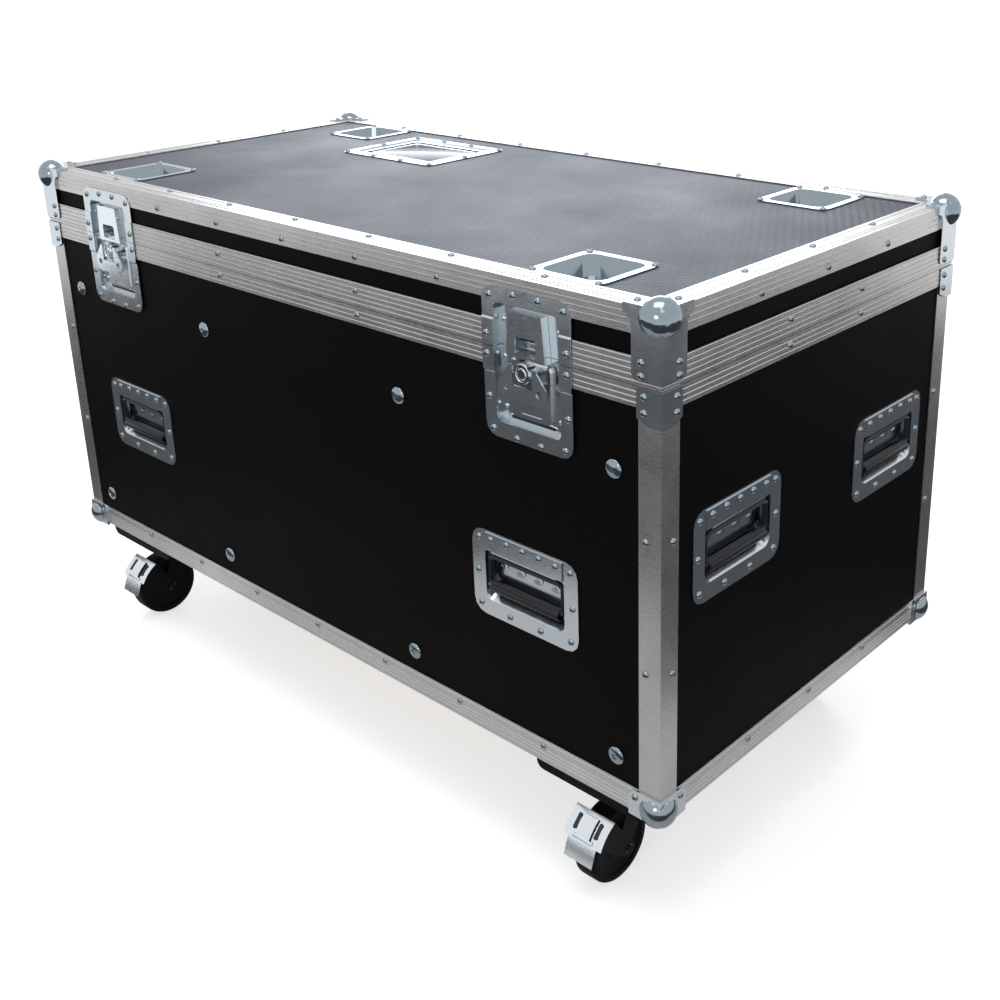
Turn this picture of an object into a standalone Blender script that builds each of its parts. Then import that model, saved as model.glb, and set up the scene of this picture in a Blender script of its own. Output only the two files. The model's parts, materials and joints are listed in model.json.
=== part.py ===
"""Flight case with a hinged lid, recessed latches and handles, and four casters.

Metres, +Z up. X runs along the case, -Y is its front, and the wheels stand on z = 0.
Every fitting is drawn in the frame of a wall: X along it, Z up it, and -Y out of it.
"""

from math import cos, copysign, pi, radians, sin, sqrt

import bmesh
import bpy
from mathutils import Matrix, Vector

# The box of the case, over its edge extrusions.
CASE_LENGTH = 1.200
CASE_DEPTH = 0.600
CASE_HEIGHT = 0.588
LID_DEPTH = 0.081
LID_SPLIT = CASE_HEIGHT - LID_DEPTH

# Clearances.
FIT = 0.0003
RUNNING = 0.0005

# Laminated panels.
PANEL = 0.009
LID_PANEL = 0.007
FLOOR_LINING = 0.0010

# Edge extrusions and corner angles.
LEG = 0.0015
BOTTOM_LEG = 0.0317
BOTTOM_FOOT = 0.0318
LID_SIDE_LEG = 0.0285
LID_TOP_LEG = 0.0318
CORNER_LEG = 0.0294

# The wide band round the lid joint.
BAND_PROUD = 0.0012
LID_BAND = 0.0302
BODY_BAND = 0.0229
RIB_PITCH = 0.0060
RIB_HEIGHT = 0.0004
RIB_WIDTH = 0.0016
BODY_RIBS = 3
LID_RIBS = 5
LOCATING_LIP = 0.0050
LID_INNER_LEG = 0.0130

# Ball corners.
BALL_RADIUS = 0.0215
BALL_PROUD = 0.0120
LOWER_BALL_RADIUS = 0.0215
LOWER_BALL_PROUD = 0.0110
CORNER_PLATE = 0.0012
SKIRT_REACH = 0.047
SKIRT_END = 0.008
LEG_WIDTH = 0.036
LEG_LENGTH = 0.075
LOWER_EAR = 0.042
LOWER_EAR_HEIGHT = 0.031
EAR_ROUND = 0.012
LOWER_PLATE = 0.031
BRACE_WIDTH = 0.0296
BRACE_LENGTH = 0.040
BRACE_POINT = 0.007
BRACE_SIDE = 0.010
BRACE_CLEAR = 0.045

# Divider tracks inside the long walls, behind the dome bolts.
TRACK_SPREAD = (CASE_LENGTH / 2 - 0.397, CASE_LENGTH / 2 - 0.0635)
TRACK_WIDTH = 0.026
TRACK_HEIGHT = 0.012
TRACK_SLOT = 0.010
TRACK_SLOT_DEPTH = 0.009
TRACK_FOOT = 0.020
TRACK_HEAD = LID_SPLIT - 0.037

# Pressed dishes.
SHEET = 0.0012
HANDLE_FLANGE = (0.164, 0.111, 0.018)
HANDLE_RECESS = (0.123, 0.070, 0.010)
HANDLE_DRAFT = (0.001, 0.008)
HANDLE_DEPTH = 0.0125
FRONT_HANDLE = (CASE_LENGTH / 2 - 0.197, 0.222)
END_HANDLE = (CASE_DEPTH / 2 - 0.137, 0.299)
COVER_WIDTH = 0.120
COVER_TOP = 0.0525
COVER_FOOT = 0.030
COVER_SHEET = 0.0016
COVER_ROLL = 0.0032
COVER_ROLL_LENGTH = 0.100
BAIL_PIVOT = (0.0045, 0.022)
BAIL_WIRE = 0.0035
BAIL_DROP = 0.039
GRIP_LENGTH = 0.106
GRIP_RADIUS = 0.0078
GRIP_FLATNESS = 0.70

CASTOR_FLANGE = (0.105, 0.105, 0.014)
CASTOR_RECESS = (0.086, 0.086, 0.014)
CASTOR_DRAFT = (0.010, 0.010)
CASTOR_DISH_DEPTH = 0.022
CASTOR_DISH_AT = (CASE_LENGTH / 2 - 0.159, CASE_DEPTH / 2 - 0.085)

LABEL_FLANGE = (0.206, 0.164, 0.012)
LABEL_RECESS = (0.180, 0.138, 0.008)
LABEL_DRAFT = (0.006, 0.006)
LABEL_LEDGE = 0.0022
LABEL_LEDGE_WIDTH = 0.007
LABEL_DEPTH = 0.0042
LABEL_DISH_AT = (0.367 - CASE_LENGTH / 2, CASE_DEPTH / 2 - 0.152)

# Recessed butterfly latches.
LATCH_FLANGE = (0.129, 0.174, 0.016)
LATCH_RECESS = (0.095, 0.137, 0.008)
LATCH_DRAFT = (0.0010, 0.0004)
LATCH_DEPTH = 0.0074
LATCH_FACE = 0.0015
LATCH_DROP = 0.0185
LATCH_AT = CASE_LENGTH / 2 - 0.180
JOGGLE_TOP = 0.0300
JOGGLE_FOOT = 0.0290
JOGGLE_RAMP = 0.0020
HOUSING = (0.062, 0.068, 0.006)
HOUSING_RAISE = 0.0040
HOUSING_TOP = 0.010
HOUSING_SLOT = (0.030, 0.004, 0.0015)
HOUSING_SLOT_RISE = 0.006
SPINDLE_DROP = 0.020
SPINDLE_HEAD = 0.0115
SPINDLE_SHAFT = 0.0050
SPINDLE_FRONT = 0.0100
SPINDLE_GROOVE = 0.0010
SPINDLE_RINGS = (0.0060, 0.0085)
PIN_RADIUS = 0.0012
PIN_FRONT = 0.0085
TONGUE_WIDTH = 0.048
TONGUE_FOOT_WIDTH = 0.056
TONGUE_TOP = 0.045
TONGUE_FOOT = 0.006
TONGUE_SHEET = 0.0015
TONGUE_FACE = 0.0034
TONGUE_WINDOW = (0.030, 0.020, 0.003)
TONGUE_WINDOW_AT = 0.008
WING_RISE = 0.008
WING_SHOULDER = 0.004
WING_SLOPE = 45
WING_WAIST = 0.0135
WING_LOBE = 0.0145
WING_LOBE_AT = (0.021, 0.0185)
WING_HOLE = 0.0045
WING_HOLE_AT = (0.024, 0.018)
WING_SHEET = 0.0020
WING_NOTCH = 0.0143
WING_NOTCH_FOOT = 0.0150

# Piano hinge behind the lid joint.
HINGE_LENGTH = CASE_LENGTH - 0.112
HINGE_LEAF = 0.022
HINGE_SHEET = 0.0012
HINGE_BARREL = 0.0032
HINGE_PIN = 0.0014
HINGE_BACK = 0.0050
HINGE_KNUCKLES = 11

# Caster boards and casters.
BOARD_THICK = 0.024
BOARD_WIDTH = 0.162
BOARD_END = 0.035
BOARD_SETBACK = 0.012
BOARD_ROUND = 0.010
CASTER_END = 0.110
CASTER_FRONT = 0.083
CASTER_PLATE = (0.100, 0.086, 0.003)
CASTER_PLATE_ROUND = 0.0065
RACE_RADIUS = 0.027
RACE_DEPTH = 0.0065
KINGPIN = 0.006
CROWN_RADIUS = 0.029
CROWN_DEPTH = 0.004
TRAIL = 0.038
AXLE_DROP = 0.0795
FORK_INSIDE = 0.037
FORK_LEG = 0.0025
FORK_FOOT = 0.013
AXLE_RADIUS = 0.005
AXLE_LENGTH = 0.062
WHEEL_RADIUS = 0.050
WHEEL_WIDTH = 0.032
TYRE = 0.012
TREAD_CROWN = 0.0010
TREAD_ROUND = (0.0024, 0.0030)
HUB_RADIUS = 0.014
HUB_LENGTH = 0.036
WEB = 0.012
PEDAL_WIDTH = 0.058
PEDAL_LIP_WIDTH = 0.043
PEDAL_SHEET = 0.0025
PEDAL_INSIDE = 0.0550
PEDAL_TOE = 0.0602
PEDAL_ANGLES = (3, 26, 64)
PEDAL_TAB = (0.020, 0.0025)

# Worked out from the sizes above.
SKIN = LEG + FIT
HALF_L = CASE_LENGTH / 2
HALF_D = CASE_DEPTH / 2
AXLE_HEIGHT = BOARD_THICK + AXLE_DROP
UNDERSIDE = AXLE_HEIGHT + WHEEL_RADIUS
PEDAL_REACH = PEDAL_TOE * cos(radians(PEDAL_ANGLES[0])) + TRAIL - CASTER_FRONT
HINGE_REACH = HINGE_BACK + HINGE_BARREL
FRONT_REACH = max(PEDAL_REACH, SPINDLE_FRONT, BALL_PROUD)
BACK_REACH = max(HINGE_REACH, BALL_PROUD)
CASE_SHIFT = (FRONT_REACH - BACK_REACH) / 2
BODY_PANEL_TOP = LID_SPLIT - FIT - LEG - FIT
LIP_INSET = SKIN + PANEL + FIT
LID_LEG_INSET = SKIN + LID_PANEL + FIT
LATCH_BACK = LATCH_DEPTH + SHEET
OVER_BAND = BAND_PROUD + RIB_HEIGHT + FIT

# Colours and finishes: colour, roughness, metallic.
LOOKS = {
    "laminate": ((0.035, 0.036, 0.040), 0.55, 0.0),
    "lid_laminate": ((0.235, 0.255, 0.285), 0.50, 0.0),
    "aluminium": ((0.740, 0.730, 0.710), 0.32, 1.0),
    "zinc": ((0.560, 0.600, 0.650), 0.30, 1.0),
    "bright_zinc": ((0.680, 0.710, 0.740), 0.22, 1.0),
    "grip": ((0.030, 0.030, 0.032), 0.60, 0.0),
    "plywood": ((0.330, 0.230, 0.140), 0.70, 0.0),
    "black_board": ((0.022, 0.022, 0.024), 0.60, 0.0),
    "black_metal": ((0.030, 0.031, 0.034), 0.45, 0.6),
    "wheel": ((0.020, 0.020, 0.021), 0.65, 0.0),
}


def clear_scene():
    """Empty the scene that Blender starts with."""
    for obj in list(bpy.data.objects):
        bpy.data.objects.remove(obj, do_unlink=True)


def new_collection(name):
    made = bpy.data.collections.new(name)
    bpy.context.scene.collection.children.link(made)
    return made


clear_scene()
PARTS = new_collection("flight_case")
TOOLS = new_collection("cutters_and_joins")
TOOLS.hide_render = True

CASE = bpy.data.objects.new("case_frame", None)
CASE.location = (0, CASE_SHIFT, UNDERSIDE)
PARTS.objects.link(CASE)


def finish(bm, name):
    """Turn a bmesh into a mesh with its faces out and its round faces smooth."""
    bmesh.ops.recalc_face_normals(bm, faces=bm.faces)
    mesh = bpy.data.meshes.new(name)
    bm.to_mesh(mesh)
    bm.free()
    mesh.shade_smooth()
    mesh.set_sharp_from_angle(angle=radians(32))
    return mesh


def look(name, kind):
    colour, roughness, metallic = LOOKS[kind]
    made = bpy.data.materials.new(name)
    made.use_nodes = True
    shader = made.node_tree.nodes["Principled BSDF"]
    shader.inputs["Base Color"].default_value = (*colour, 1)
    shader.inputs["Roughness"].default_value = roughness
    shader.inputs["Metallic"].default_value = metallic
    made.diffuse_color = (*colour, 1)
    return made


def place(obj, at, turn, parent):
    obj.parent = parent or CASE
    obj.location = at
    obj.rotation_euler = turn


def part(name, mesh, kind, at=(0, 0, 0), turn=(0, 0, 0), parent=None):
    """A visible piece. A mesh that pieces share gets each piece's material by a slot."""
    obj = bpy.data.objects.new(name, mesh)
    PARTS.objects.link(obj)
    if not mesh.materials:
        mesh.materials.append(None)
    obj.material_slots[0].link = "OBJECT"
    obj.material_slots[0].material = look(name, kind)
    place(obj, at, turn, parent)
    return obj


def tool(name, mesh, at=(0, 0, 0), turn=(0, 0, 0), parent=None):
    """A helper that cuts a piece or is joined to it."""
    obj = bpy.data.objects.new(name, mesh)
    TOOLS.objects.link(obj)
    obj.hide_render = True
    obj.display_type = "WIRE"
    place(obj, at, turn, parent)
    return obj


def boolean(obj, operation, helpers):
    for helper in helpers:
        modifier = obj.modifiers.new(f"{operation.lower()} {helper.name}", "BOOLEAN")
        modifier.operation = operation
        modifier.solver = "EXACT"
        modifier.object = helper
    return obj


def cut(obj, *helpers):
    return boolean(obj, "DIFFERENCE", helpers)


def join(obj, *helpers):
    return boolean(obj, "UNION", helpers)


def baked(name, obj):
    """The mesh of a helper with its modifiers applied, in its own frame, for pieces that share it."""
    graph = bpy.context.evaluated_depsgraph_get()
    graph.update()
    mesh = bpy.data.meshes.new_from_object(obj.evaluated_get(graph))
    mesh.name = name
    mesh.materials.clear()
    bpy.data.objects.remove(obj, do_unlink=True)
    return mesh


def block(name, low, high):
    """A box between two corners."""
    bm = bmesh.new()
    bmesh.ops.create_cube(bm, size=1)
    low, high = Vector(low), Vector(high)
    bmesh.ops.scale(bm, vec=high - low, verts=bm.verts)
    bmesh.ops.translate(bm, vec=(low + high) / 2, verts=bm.verts)
    return finish(bm, name)


def barrel(name, radius, start, end, sides=16, axis="X"):
    """A cylinder along an axis, from start to end on it."""
    bm = bmesh.new()
    bmesh.ops.create_cone(
        bm, cap_ends=True, segments=sides, radius1=radius, radius2=radius, depth=end - start
    )
    bmesh.ops.translate(bm, vec=(0, 0, (start + end) / 2), verts=bm.verts)
    turns = {"X": Matrix.Rotation(pi / 2, 3, "Y"), "Y": Matrix.Rotation(-pi / 2, 3, "X")}
    if axis in turns:
        bmesh.ops.rotate(bm, matrix=turns[axis], verts=bm.verts)
    return finish(bm, name)


def arc(centre, radius, first, last, steps):
    """Points on a circle, with angles in degrees."""
    angles = [radians(first + (last - first) * i / steps) for i in range(steps + 1)]
    return [(centre[0] + radius * cos(a), centre[1] + radius * sin(a)) for a in angles]


def rounded_rect(width, height, radius, steps=3):
    across, up = width / 2 - radius, height / 2 - radius
    corners = ((across, up, 0), (-across, up, 90), (-across, -up, 180), (across, -up, 270))
    points = []
    for u, v, first in corners:
        points += arc((u, v), radius, first, first + 90, steps)
    return points


def slab(name, outline, low, high, plane="XZ"):
    """A flat outline, extruded across its plane from low to high."""
    lay = {
        "XZ": lambda a, b, c: (a, c, b),
        "YZ": lambda a, b, c: (c, a, b),
        "XY": lambda a, b, c: (a, b, c),
    }[plane]
    bm = bmesh.new()
    face = bm.faces.new([bm.verts.new(lay(a, b, low)) for a, b in outline])
    grown = bmesh.ops.extrude_face_region(bm, geom=[face])["geom"]
    moved = [item for item in grown if isinstance(item, bmesh.types.BMVert)]
    bmesh.ops.translate(bm, vec=lay(0, 0, high - low), verts=moved)
    return finish(bm, name)


def hull(name, outline, low, high):
    """The convex outline round some points in the YZ plane, extruded along X."""
    bm = bmesh.new()
    for x in (low, high):
        for y, z in outline:
            bm.verts.new((x, y, z))
    made = bmesh.ops.convex_hull(bm, input=bm.verts)
    inside = list(set(made["geom_interior"] + made["geom_unused"]))
    bmesh.ops.delete(bm, geom=inside, context="VERTS")
    bmesh.ops.dissolve_limit(bm, angle_limit=radians(1), verts=bm.verts, edges=bm.edges)
    return finish(bm, name)


def loft(name, sections):
    """A skin over rounded rectangles of (width, height, radius, depth), closed at both ends."""
    bm = bmesh.new()
    rings = []
    for width, height, radius, depth in sections:
        outline = rounded_rect(width, height, radius)
        rings.append([bm.verts.new((u, depth, v)) for u, v in outline])
    for before, after in zip(rings, rings[1:]):
        for i in range(len(before)):
            bm.faces.new((before[i - 1], before[i], after[i], after[i - 1]))
    for ring in (rings[0], rings[-1]):
        bm.faces.new(ring)
    return finish(bm, name)


def grown(size, by):
    """A rounded rectangle (width, height, radius) made larger all round."""
    width, height, radius = size
    return (width + 2 * by, height + 2 * by, max(radius + by, 0.0005))


def drawn_in(size, draft):
    """The foot of a recess whose walls lean in by the draft."""
    width, height, radius = size
    return (width - 2 * draft[0], height - 2 * draft[1], radius)


def dish_sections(flange, recess, draft, face, depth, steps=()):
    """Sections of a pressed dish: up its back, over its flange and down into its recess."""
    foot = drawn_in(recess, draft)
    back = [(*grown(foot, SHEET), depth + SHEET)]
    front = [(*foot, depth)]
    for size, low in steps:
        back.append((*grown(size, SHEET), low + SHEET))
        front.append((*size, low))
    back.append((*grown(recess, SHEET), face + SHEET))
    front.append((*recess, face))
    return [*back, (*flange, face + SHEET), (*flange, face), *reversed(front)]


def edge_ring(name, profile, length=CASE_LENGTH, depth=CASE_DEPTH):
    """A frame with mitred corners round the case: the profile is (inset, height) points."""
    bm = bmesh.new()
    verts = [bm.verts.new(((depth / 2 - d) * sqrt(2), 0, z)) for d, z in profile]
    edges = [bm.edges.new((verts[i - 1], verts[i])) for i in range(len(verts))]
    bmesh.ops.spin(
        bm, geom=verts + edges, cent=(0, 0, 0), axis=(0, 0, 1), angle=2 * pi, steps=4
    )
    bmesh.ops.remove_doubles(bm, verts=bm.verts, dist=1e-6)
    bmesh.ops.rotate(bm, matrix=Matrix.Rotation(pi / 4, 3, "Z"), verts=bm.verts)
    for vert in bm.verts:
        vert.co.x += copysign((length - depth) / 2, vert.co.x)
    return finish(bm, name)


def ribs(heights, face):
    """Half-round ribs on the outer face of a band, as profile points from the top down."""
    points = []
    for z in heights:
        points += [
            (-face, z + RIB_WIDTH / 2),
            (-face - RIB_HEIGHT, z),
            (-face, z - RIB_WIDTH / 2),
        ]
    return points


def mirrored(outline):
    """The outline with its first axis turned over, in the same sense round."""
    return [(-a, b) for a, b in reversed(outline)]


# The four walls: where a wall's frame stands and how it is turned.
FRONT = ((0, -HALF_D), 0)
BACK = ((0, HALF_D), pi)
RIGHT = ((HALF_L, 0), pi / 2)
LEFT = ((-HALF_L, 0), -pi / 2)


def on_wall(wall, along, height, out=0):
    """Where a fitting stands, from its place along a wall, and how it is turned."""
    (x, y), turn = wall
    spot = (x + along * cos(turn) + out * sin(turn), y + along * sin(turn) - out * cos(turn))
    return (*spot, height), (0, 0, turn)


# Panels of the body.
THROUGH = 2 * PANEL


def recess_cutter(name, recess, spot, far):
    """A block with round corners that clears the back of a pressed recess, in a wall's frame."""
    size = grown(recess, SHEET + FIT)
    at, turn = spot
    return tool(name, loft(name, [(*size, far), (*size, -THROUGH)]), at, turn)


HANDLES = {
    "front_left": on_wall(FRONT, -FRONT_HANDLE[0], FRONT_HANDLE[1]),
    "front_right": on_wall(FRONT, FRONT_HANDLE[0], FRONT_HANDLE[1]),
    "right_front": on_wall(RIGHT, -END_HANDLE[0], END_HANDLE[1]),
    "right_back": on_wall(RIGHT, END_HANDLE[0], END_HANDLE[1]),
    "left_front": on_wall(LEFT, END_HANDLE[0], END_HANDLE[1]),
    "left_back": on_wall(LEFT, -END_HANDLE[0], END_HANDLE[1]),
}
LATCHES = {
    "left": on_wall(FRONT, -LATCH_AT, LID_SPLIT),
    "right": on_wall(FRONT, LATCH_AT, LID_SPLIT),
}


def latch_cutter(name, side, far):
    (x, y, z), turn = LATCHES[side]
    return recess_cutter(name, LATCH_RECESS, ((x, y, z - LATCH_DROP), turn), far)


def track_tools(wall, face):
    """Upright channels on the inner face of a long wall."""
    channels = []
    for i, along in enumerate((-TRACK_SPREAD[1], -TRACK_SPREAD[0], *TRACK_SPREAD)):
        name = f"track_{face}_{i}"
        back = SKIN + PANEL
        half, slot = TRACK_WIDTH / 2, TRACK_SLOT / 2
        tip, mouth = back + TRACK_HEIGHT, back + TRACK_HEIGHT - TRACK_SLOT_DEPTH
        outline = [
            (-half, back - RUNNING),
            (half, back - RUNNING),
            (half, tip),
            (slot, tip),
            (slot, mouth),
            (-slot, mouth),
            (-slot, tip),
            (-half, tip),
        ]
        at, turn = on_wall(wall, along, 0)
        mesh = slab(name, outline, TRACK_FOOT, TRACK_HEAD, "XY")
        channels.append(tool(name, mesh, at, turn))
    return channels


floor = block(
    "floor_panel",
    (-HALF_L + SKIN, -HALF_D + SKIN, SKIN),
    (HALF_L - SKIN, HALF_D - SKIN, SKIN + PANEL),
)
LINING_INSET = SKIN + PANEL + RUNNING
lining = block(
    "floor_lining",
    (-HALF_L + LINING_INSET, -HALF_D + LINING_INSET, SKIN + PANEL / 2),
    (HALF_L - LINING_INSET, HALF_D - LINING_INSET, SKIN + PANEL + FLOOR_LINING),
)
join(part("floor_panel", floor, "plywood"), tool("floor_lining", lining))

WALL_FOOT = SKIN + PANEL + FIT
long_wall = block(
    "long_wall",
    (-HALF_L + SKIN, SKIN, WALL_FOOT),
    (HALF_L - SKIN, SKIN + PANEL, BODY_PANEL_TOP),
)
END_INSET = SKIN + PANEL + FIT
end_wall = block(
    "end_wall",
    (-HALF_D + END_INSET, SKIN, WALL_FOOT),
    (HALF_D - END_INSET, SKIN + PANEL, BODY_PANEL_TOP),
)
front_panel = part("front_panel", long_wall, "laminate", *on_wall(FRONT, 0, 0))
back_panel = part("back_panel", long_wall, "laminate", *on_wall(BACK, 0, 0))
right_panel = part("right_panel", end_wall, "laminate", *on_wall(RIGHT, 0, 0))
left_panel = part("left_panel", end_wall, "laminate", *on_wall(LEFT, 0, 0))
join(front_panel, *track_tools(FRONT, "front"))
join(back_panel, *track_tools(BACK, "back"))
for side in LATCHES:
    cut(front_panel, latch_cutter(f"panel_latch_hole_{side}", side, THROUGH))
for side, spot in HANDLES.items():
    wall = {"front": front_panel, "right": right_panel, "left": left_panel}[side.split("_")[0]]
    cut(wall, recess_cutter(f"handle_hole_{side}", HANDLE_RECESS, spot, THROUGH))


# Ball corners: a ball between three plates that carry on as ears or legs.
LOWER_INSET = LOWER_BALL_RADIUS - LOWER_BALL_PROUD
BALL_INSET = BALL_RADIUS - BALL_PROUD
BALL_STEPS = (28, 12)
BALL_BACK = LEG / 2


def ball(name, radius, centre, inside):
    """A ball without the part of it that would lie inside the case."""
    bm = bmesh.new()
    around, down = BALL_STEPS
    bmesh.ops.create_uvsphere(bm, u_segments=around, v_segments=down, radius=radius)
    return cut(tool(name, finish(bm, name), centre), inside)


def corner_block(name, edges, outward, low, high):
    """A block at a corner, between two distances out from each of its three faces."""
    spans = [sorted((edge + s * low, edge + s * high)) for edge, s in zip(edges, outward)]
    return tool(name, block(name, *zip(*spans)))


def corner_pieces(name, corner, radius, inset, plates, top):
    """The ball and its plates at one corner, as helpers for the frame that carries them.

    A plate is (outline, low, high, plane): its outline is measured in from the corner,
    and it lies between two insets from the face of the case.
    """
    sx, sy = corner
    inward = -1 if top else 1
    level = CASE_HEIGHT if top else 0
    outward = (sx, sy, -inward)
    edges = (sx * HALF_L, sy * HALF_D, level)
    centre = tuple(edge - s * inset for edge, s in zip(edges, outward))
    inside = corner_block(f"{name}_inside", edges, outward, -inset - 2 * radius, -BALL_BACK)
    bite = corner_block(f"{name}_bite", edges, outward, LEG - inset, radius)
    pieces = []
    for i, (outline, low, high, plane) in enumerate(plates):
        first, second, across = {"XZ": (0, 2, 1), "YZ": (1, 2, 0), "XY": (0, 1, 2)}[plane]
        shape = [
            (edges[first] - outward[first] * a, edges[second] - outward[second] * b)
            for a, b in outline
        ]
        ends = sorted(edges[across] - outward[across] * d for d in (low, high))
        mesh = slab(f"{name}_plate_{i}", shape, *ends, plane)
        pieces.append(tool(f"{name}_plate_{i}", mesh))
    return pieces, bite, ball(f"{name}_ball", radius, centre, inside)


CORNERS = {
    "front_left": (-1, -1),
    "front_right": (1, -1),
    "back_right": (1, 1),
    "back_left": (-1, 1),
}
PLATE_IN = -OVER_BAND
PLATE_OUT = PLATE_IN - CORNER_PLATE
PAD_IN = LEG / 3


def skirt(leg_end):
    """A skirt whose edge is drawn in by a hollow curve to a leg with a round corner."""
    span = SKIRT_REACH - LEG_WIDTH
    hollow = arc((SKIRT_REACH, SKIRT_END + span), span, 270, 180, 4)
    cap = arc((LEG_WIDTH - BRACE_POINT, leg_end - BRACE_POINT), BRACE_POINT, 0, 90, 3)
    return [
        (PLATE_OUT, PLATE_OUT),
        (SKIRT_REACH, PLATE_OUT),
        *hollow,
        *cap,
        (PLATE_OUT, leg_end),
    ]


def petals():
    """The top of a ball corner: two petals with a hollow curve between them."""
    hollow = arc((SKIRT_REACH, SKIRT_REACH), SKIRT_REACH - 2 * SKIRT_END, 270, 180, 6)
    return [
        (PLATE_OUT, PLATE_OUT),
        (SKIRT_REACH, PLATE_OUT),
        *hollow,
        (PLATE_OUT, SKIRT_REACH),
    ]


def skirt_pad():
    """What fills the space between the skirt and the edge extrusion behind it."""
    foot = LID_SIDE_LEG - RUNNING
    return [
        (PLATE_OUT, PLATE_OUT),
        (SKIRT_REACH, PLATE_OUT),
        (SKIRT_REACH, SKIRT_END),
        (LEG_WIDTH, SKIRT_END),
        (LEG_WIDTH, foot),
        (PLATE_OUT, foot),
    ]


def ear():
    """The plate beside a lower ball, with a round end."""
    tip = arc((LOWER_EAR - EAR_ROUND, LOWER_EAR_HEIGHT - EAR_ROUND), EAR_ROUND, 0, 90, 4)
    return [
        (PLATE_OUT, PLATE_OUT),
        (LOWER_EAR, PLATE_OUT),
        *tip,
        (PLATE_OUT, LOWER_EAR_HEIGHT),
    ]


def square(side):
    return [(PLATE_OUT, PLATE_OUT), (side, PLATE_OUT), (side, side), (PLATE_OUT, side)]


def with_corners(frame, plates, pads, radius, inset, top, prefix):
    """Fuses a ball corner to each corner of a frame."""
    for corner, signs in CORNERS.items():
        name = f"{prefix}_{corner}"
        shapes = [
            (outline, PLATE_OUT, inside, plane)
            for outline, inside, plane in ((*plates[0], "XZ"), (*plates[0], "YZ"), (*plates[1], "XY"))
        ]
        shapes += [(outline, PLATE_OUT, PAD_IN, plane) for outline in pads for plane in ("XZ", "YZ")]
        pieces, bite, knob = corner_pieces(name, signs, radius, inset, shapes, top)
        join(frame, *pieces)
        cut(frame, bite)
        join(frame, knob)
    return frame


# The frame round the foot, with the four lower ball corners.
foot_profile = [
    (0, 0),
    (BOTTOM_FOOT, 0),
    (BOTTOM_FOOT, LEG),
    (LEG, LEG),
    (LEG, BOTTOM_LEG),
    (0, BOTTOM_LEG),
]
foot_frame = part("bottom_edge_frame", edge_ring("bottom_edge_frame", foot_profile), "aluminium")
with_corners(
    foot_frame,
    ((ear(), PAD_IN), (square(LOWER_PLATE), PAD_IN)),
    (),
    LOWER_BALL_RADIUS,
    LOWER_INSET,
    False,
    "foot",
)

# Corner angles with their braces over the band.
ANGLE_TOP = LID_SPLIT - BODY_BAND - FIT
BRACE_TOP = LID_SPLIT - FIT
BRACE_FOOT = LID_SPLIT - BRACE_LENGTH


def fold(inside, sx, sy):
    """The section of a brace folded round a corner, from its outer face to an inset."""
    outline = [
        (PLATE_OUT, PLATE_OUT),
        (BRACE_WIDTH, PLATE_OUT),
        (BRACE_WIDTH, inside),
        (inside, inside),
        (inside, BRACE_WIDTH),
        (PLATE_OUT, BRACE_WIDTH),
    ]
    return [(sx * (HALF_L - a), sy * (HALF_D - b)) for a, b in outline]


def brace_tips(name, sx, sy):
    """Cutters that slope the foot of each side of a brace."""
    low, high = BRACE_FOOT - BRACE_POINT, BRACE_FOOT + BRACE_POINT
    slope = [
        (BRACE_WIDTH / 2, BRACE_FOOT),
        (BRACE_CLEAR, low),
        (BRACE_CLEAR, high),
        (BRACE_WIDTH, high),
    ]
    across = [(sx * (HALF_L - a), b) for a, b in slope]
    along = [(sy * (HALF_D - a), b) for a, b in slope]
    y = sorted(sy * (HALF_D + d) for d in (-BRACE_SIDE, BRACE_SIDE))
    x = sorted(sx * (HALF_L + d) for d in (-BRACE_SIDE, BRACE_SIDE))
    return (
        tool(f"{name}_tip_x", slab(f"{name}_tip_x", across, *y, "XZ")),
        tool(f"{name}_tip_y", slab(f"{name}_tip_y", along, *x, "YZ")),
    )


for corner, (sx, sy) in CORNERS.items():
    name = f"corner_angle_{corner}"
    profile = [
        (0, 0),
        (CORNER_LEG, 0),
        (CORNER_LEG, LEG),
        (LEG, LEG),
        (LEG, CORNER_LEG),
        (0, CORNER_LEG),
    ]
    profile = [(sx * (HALF_L - a), sy * (HALF_D - b)) for a, b in profile]
    angle = part(name, slab(name, profile, BOTTOM_LEG + FIT, ANGLE_TOP, "XY"), "aluminium")
    strap = slab(f"{name}_strap", fold(PLATE_IN, sx, sy), ANGLE_TOP - LEG, BRACE_TOP, "XY")
    foot = slab(f"{name}_foot", fold(PAD_IN, sx, sy), BRACE_FOOT, ANGLE_TOP, "XY")
    foot = cut(tool(f"{name}_foot", foot), *brace_tips(name, sx, sy))
    join(angle, foot, tool(f"{name}_strap", strap))

# The body's half of the band: a channel over the wall tops, with a lip that locates the lid.
RIM_TOP = LID_SPLIT - FIT
body_ribs = [RIM_TOP - RIB_PITCH * (i + 1) for i in range(BODY_RIBS)]
body_profile = [
    (-BAND_PROUD, LID_SPLIT - BODY_BAND),
    (FIT, LID_SPLIT - BODY_BAND),
    (FIT, RIM_TOP - LEG),
    (LIP_INSET + LEG, RIM_TOP - LEG),
    (LIP_INSET + LEG, RIM_TOP + LOCATING_LIP),
    (LIP_INSET, RIM_TOP + LOCATING_LIP),
    (LIP_INSET, RIM_TOP),
    (-BAND_PROUD, RIM_TOP),
    *ribs(body_ribs, BAND_PROUD),
]
body_rim = part("body_rim", edge_ring("body_rim", body_profile), "aluminium")
for side in LATCHES:
    cut(body_rim, latch_cutter(f"rim_latch_hole_{side}", side, LATCH_BACK + FIT))

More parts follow.
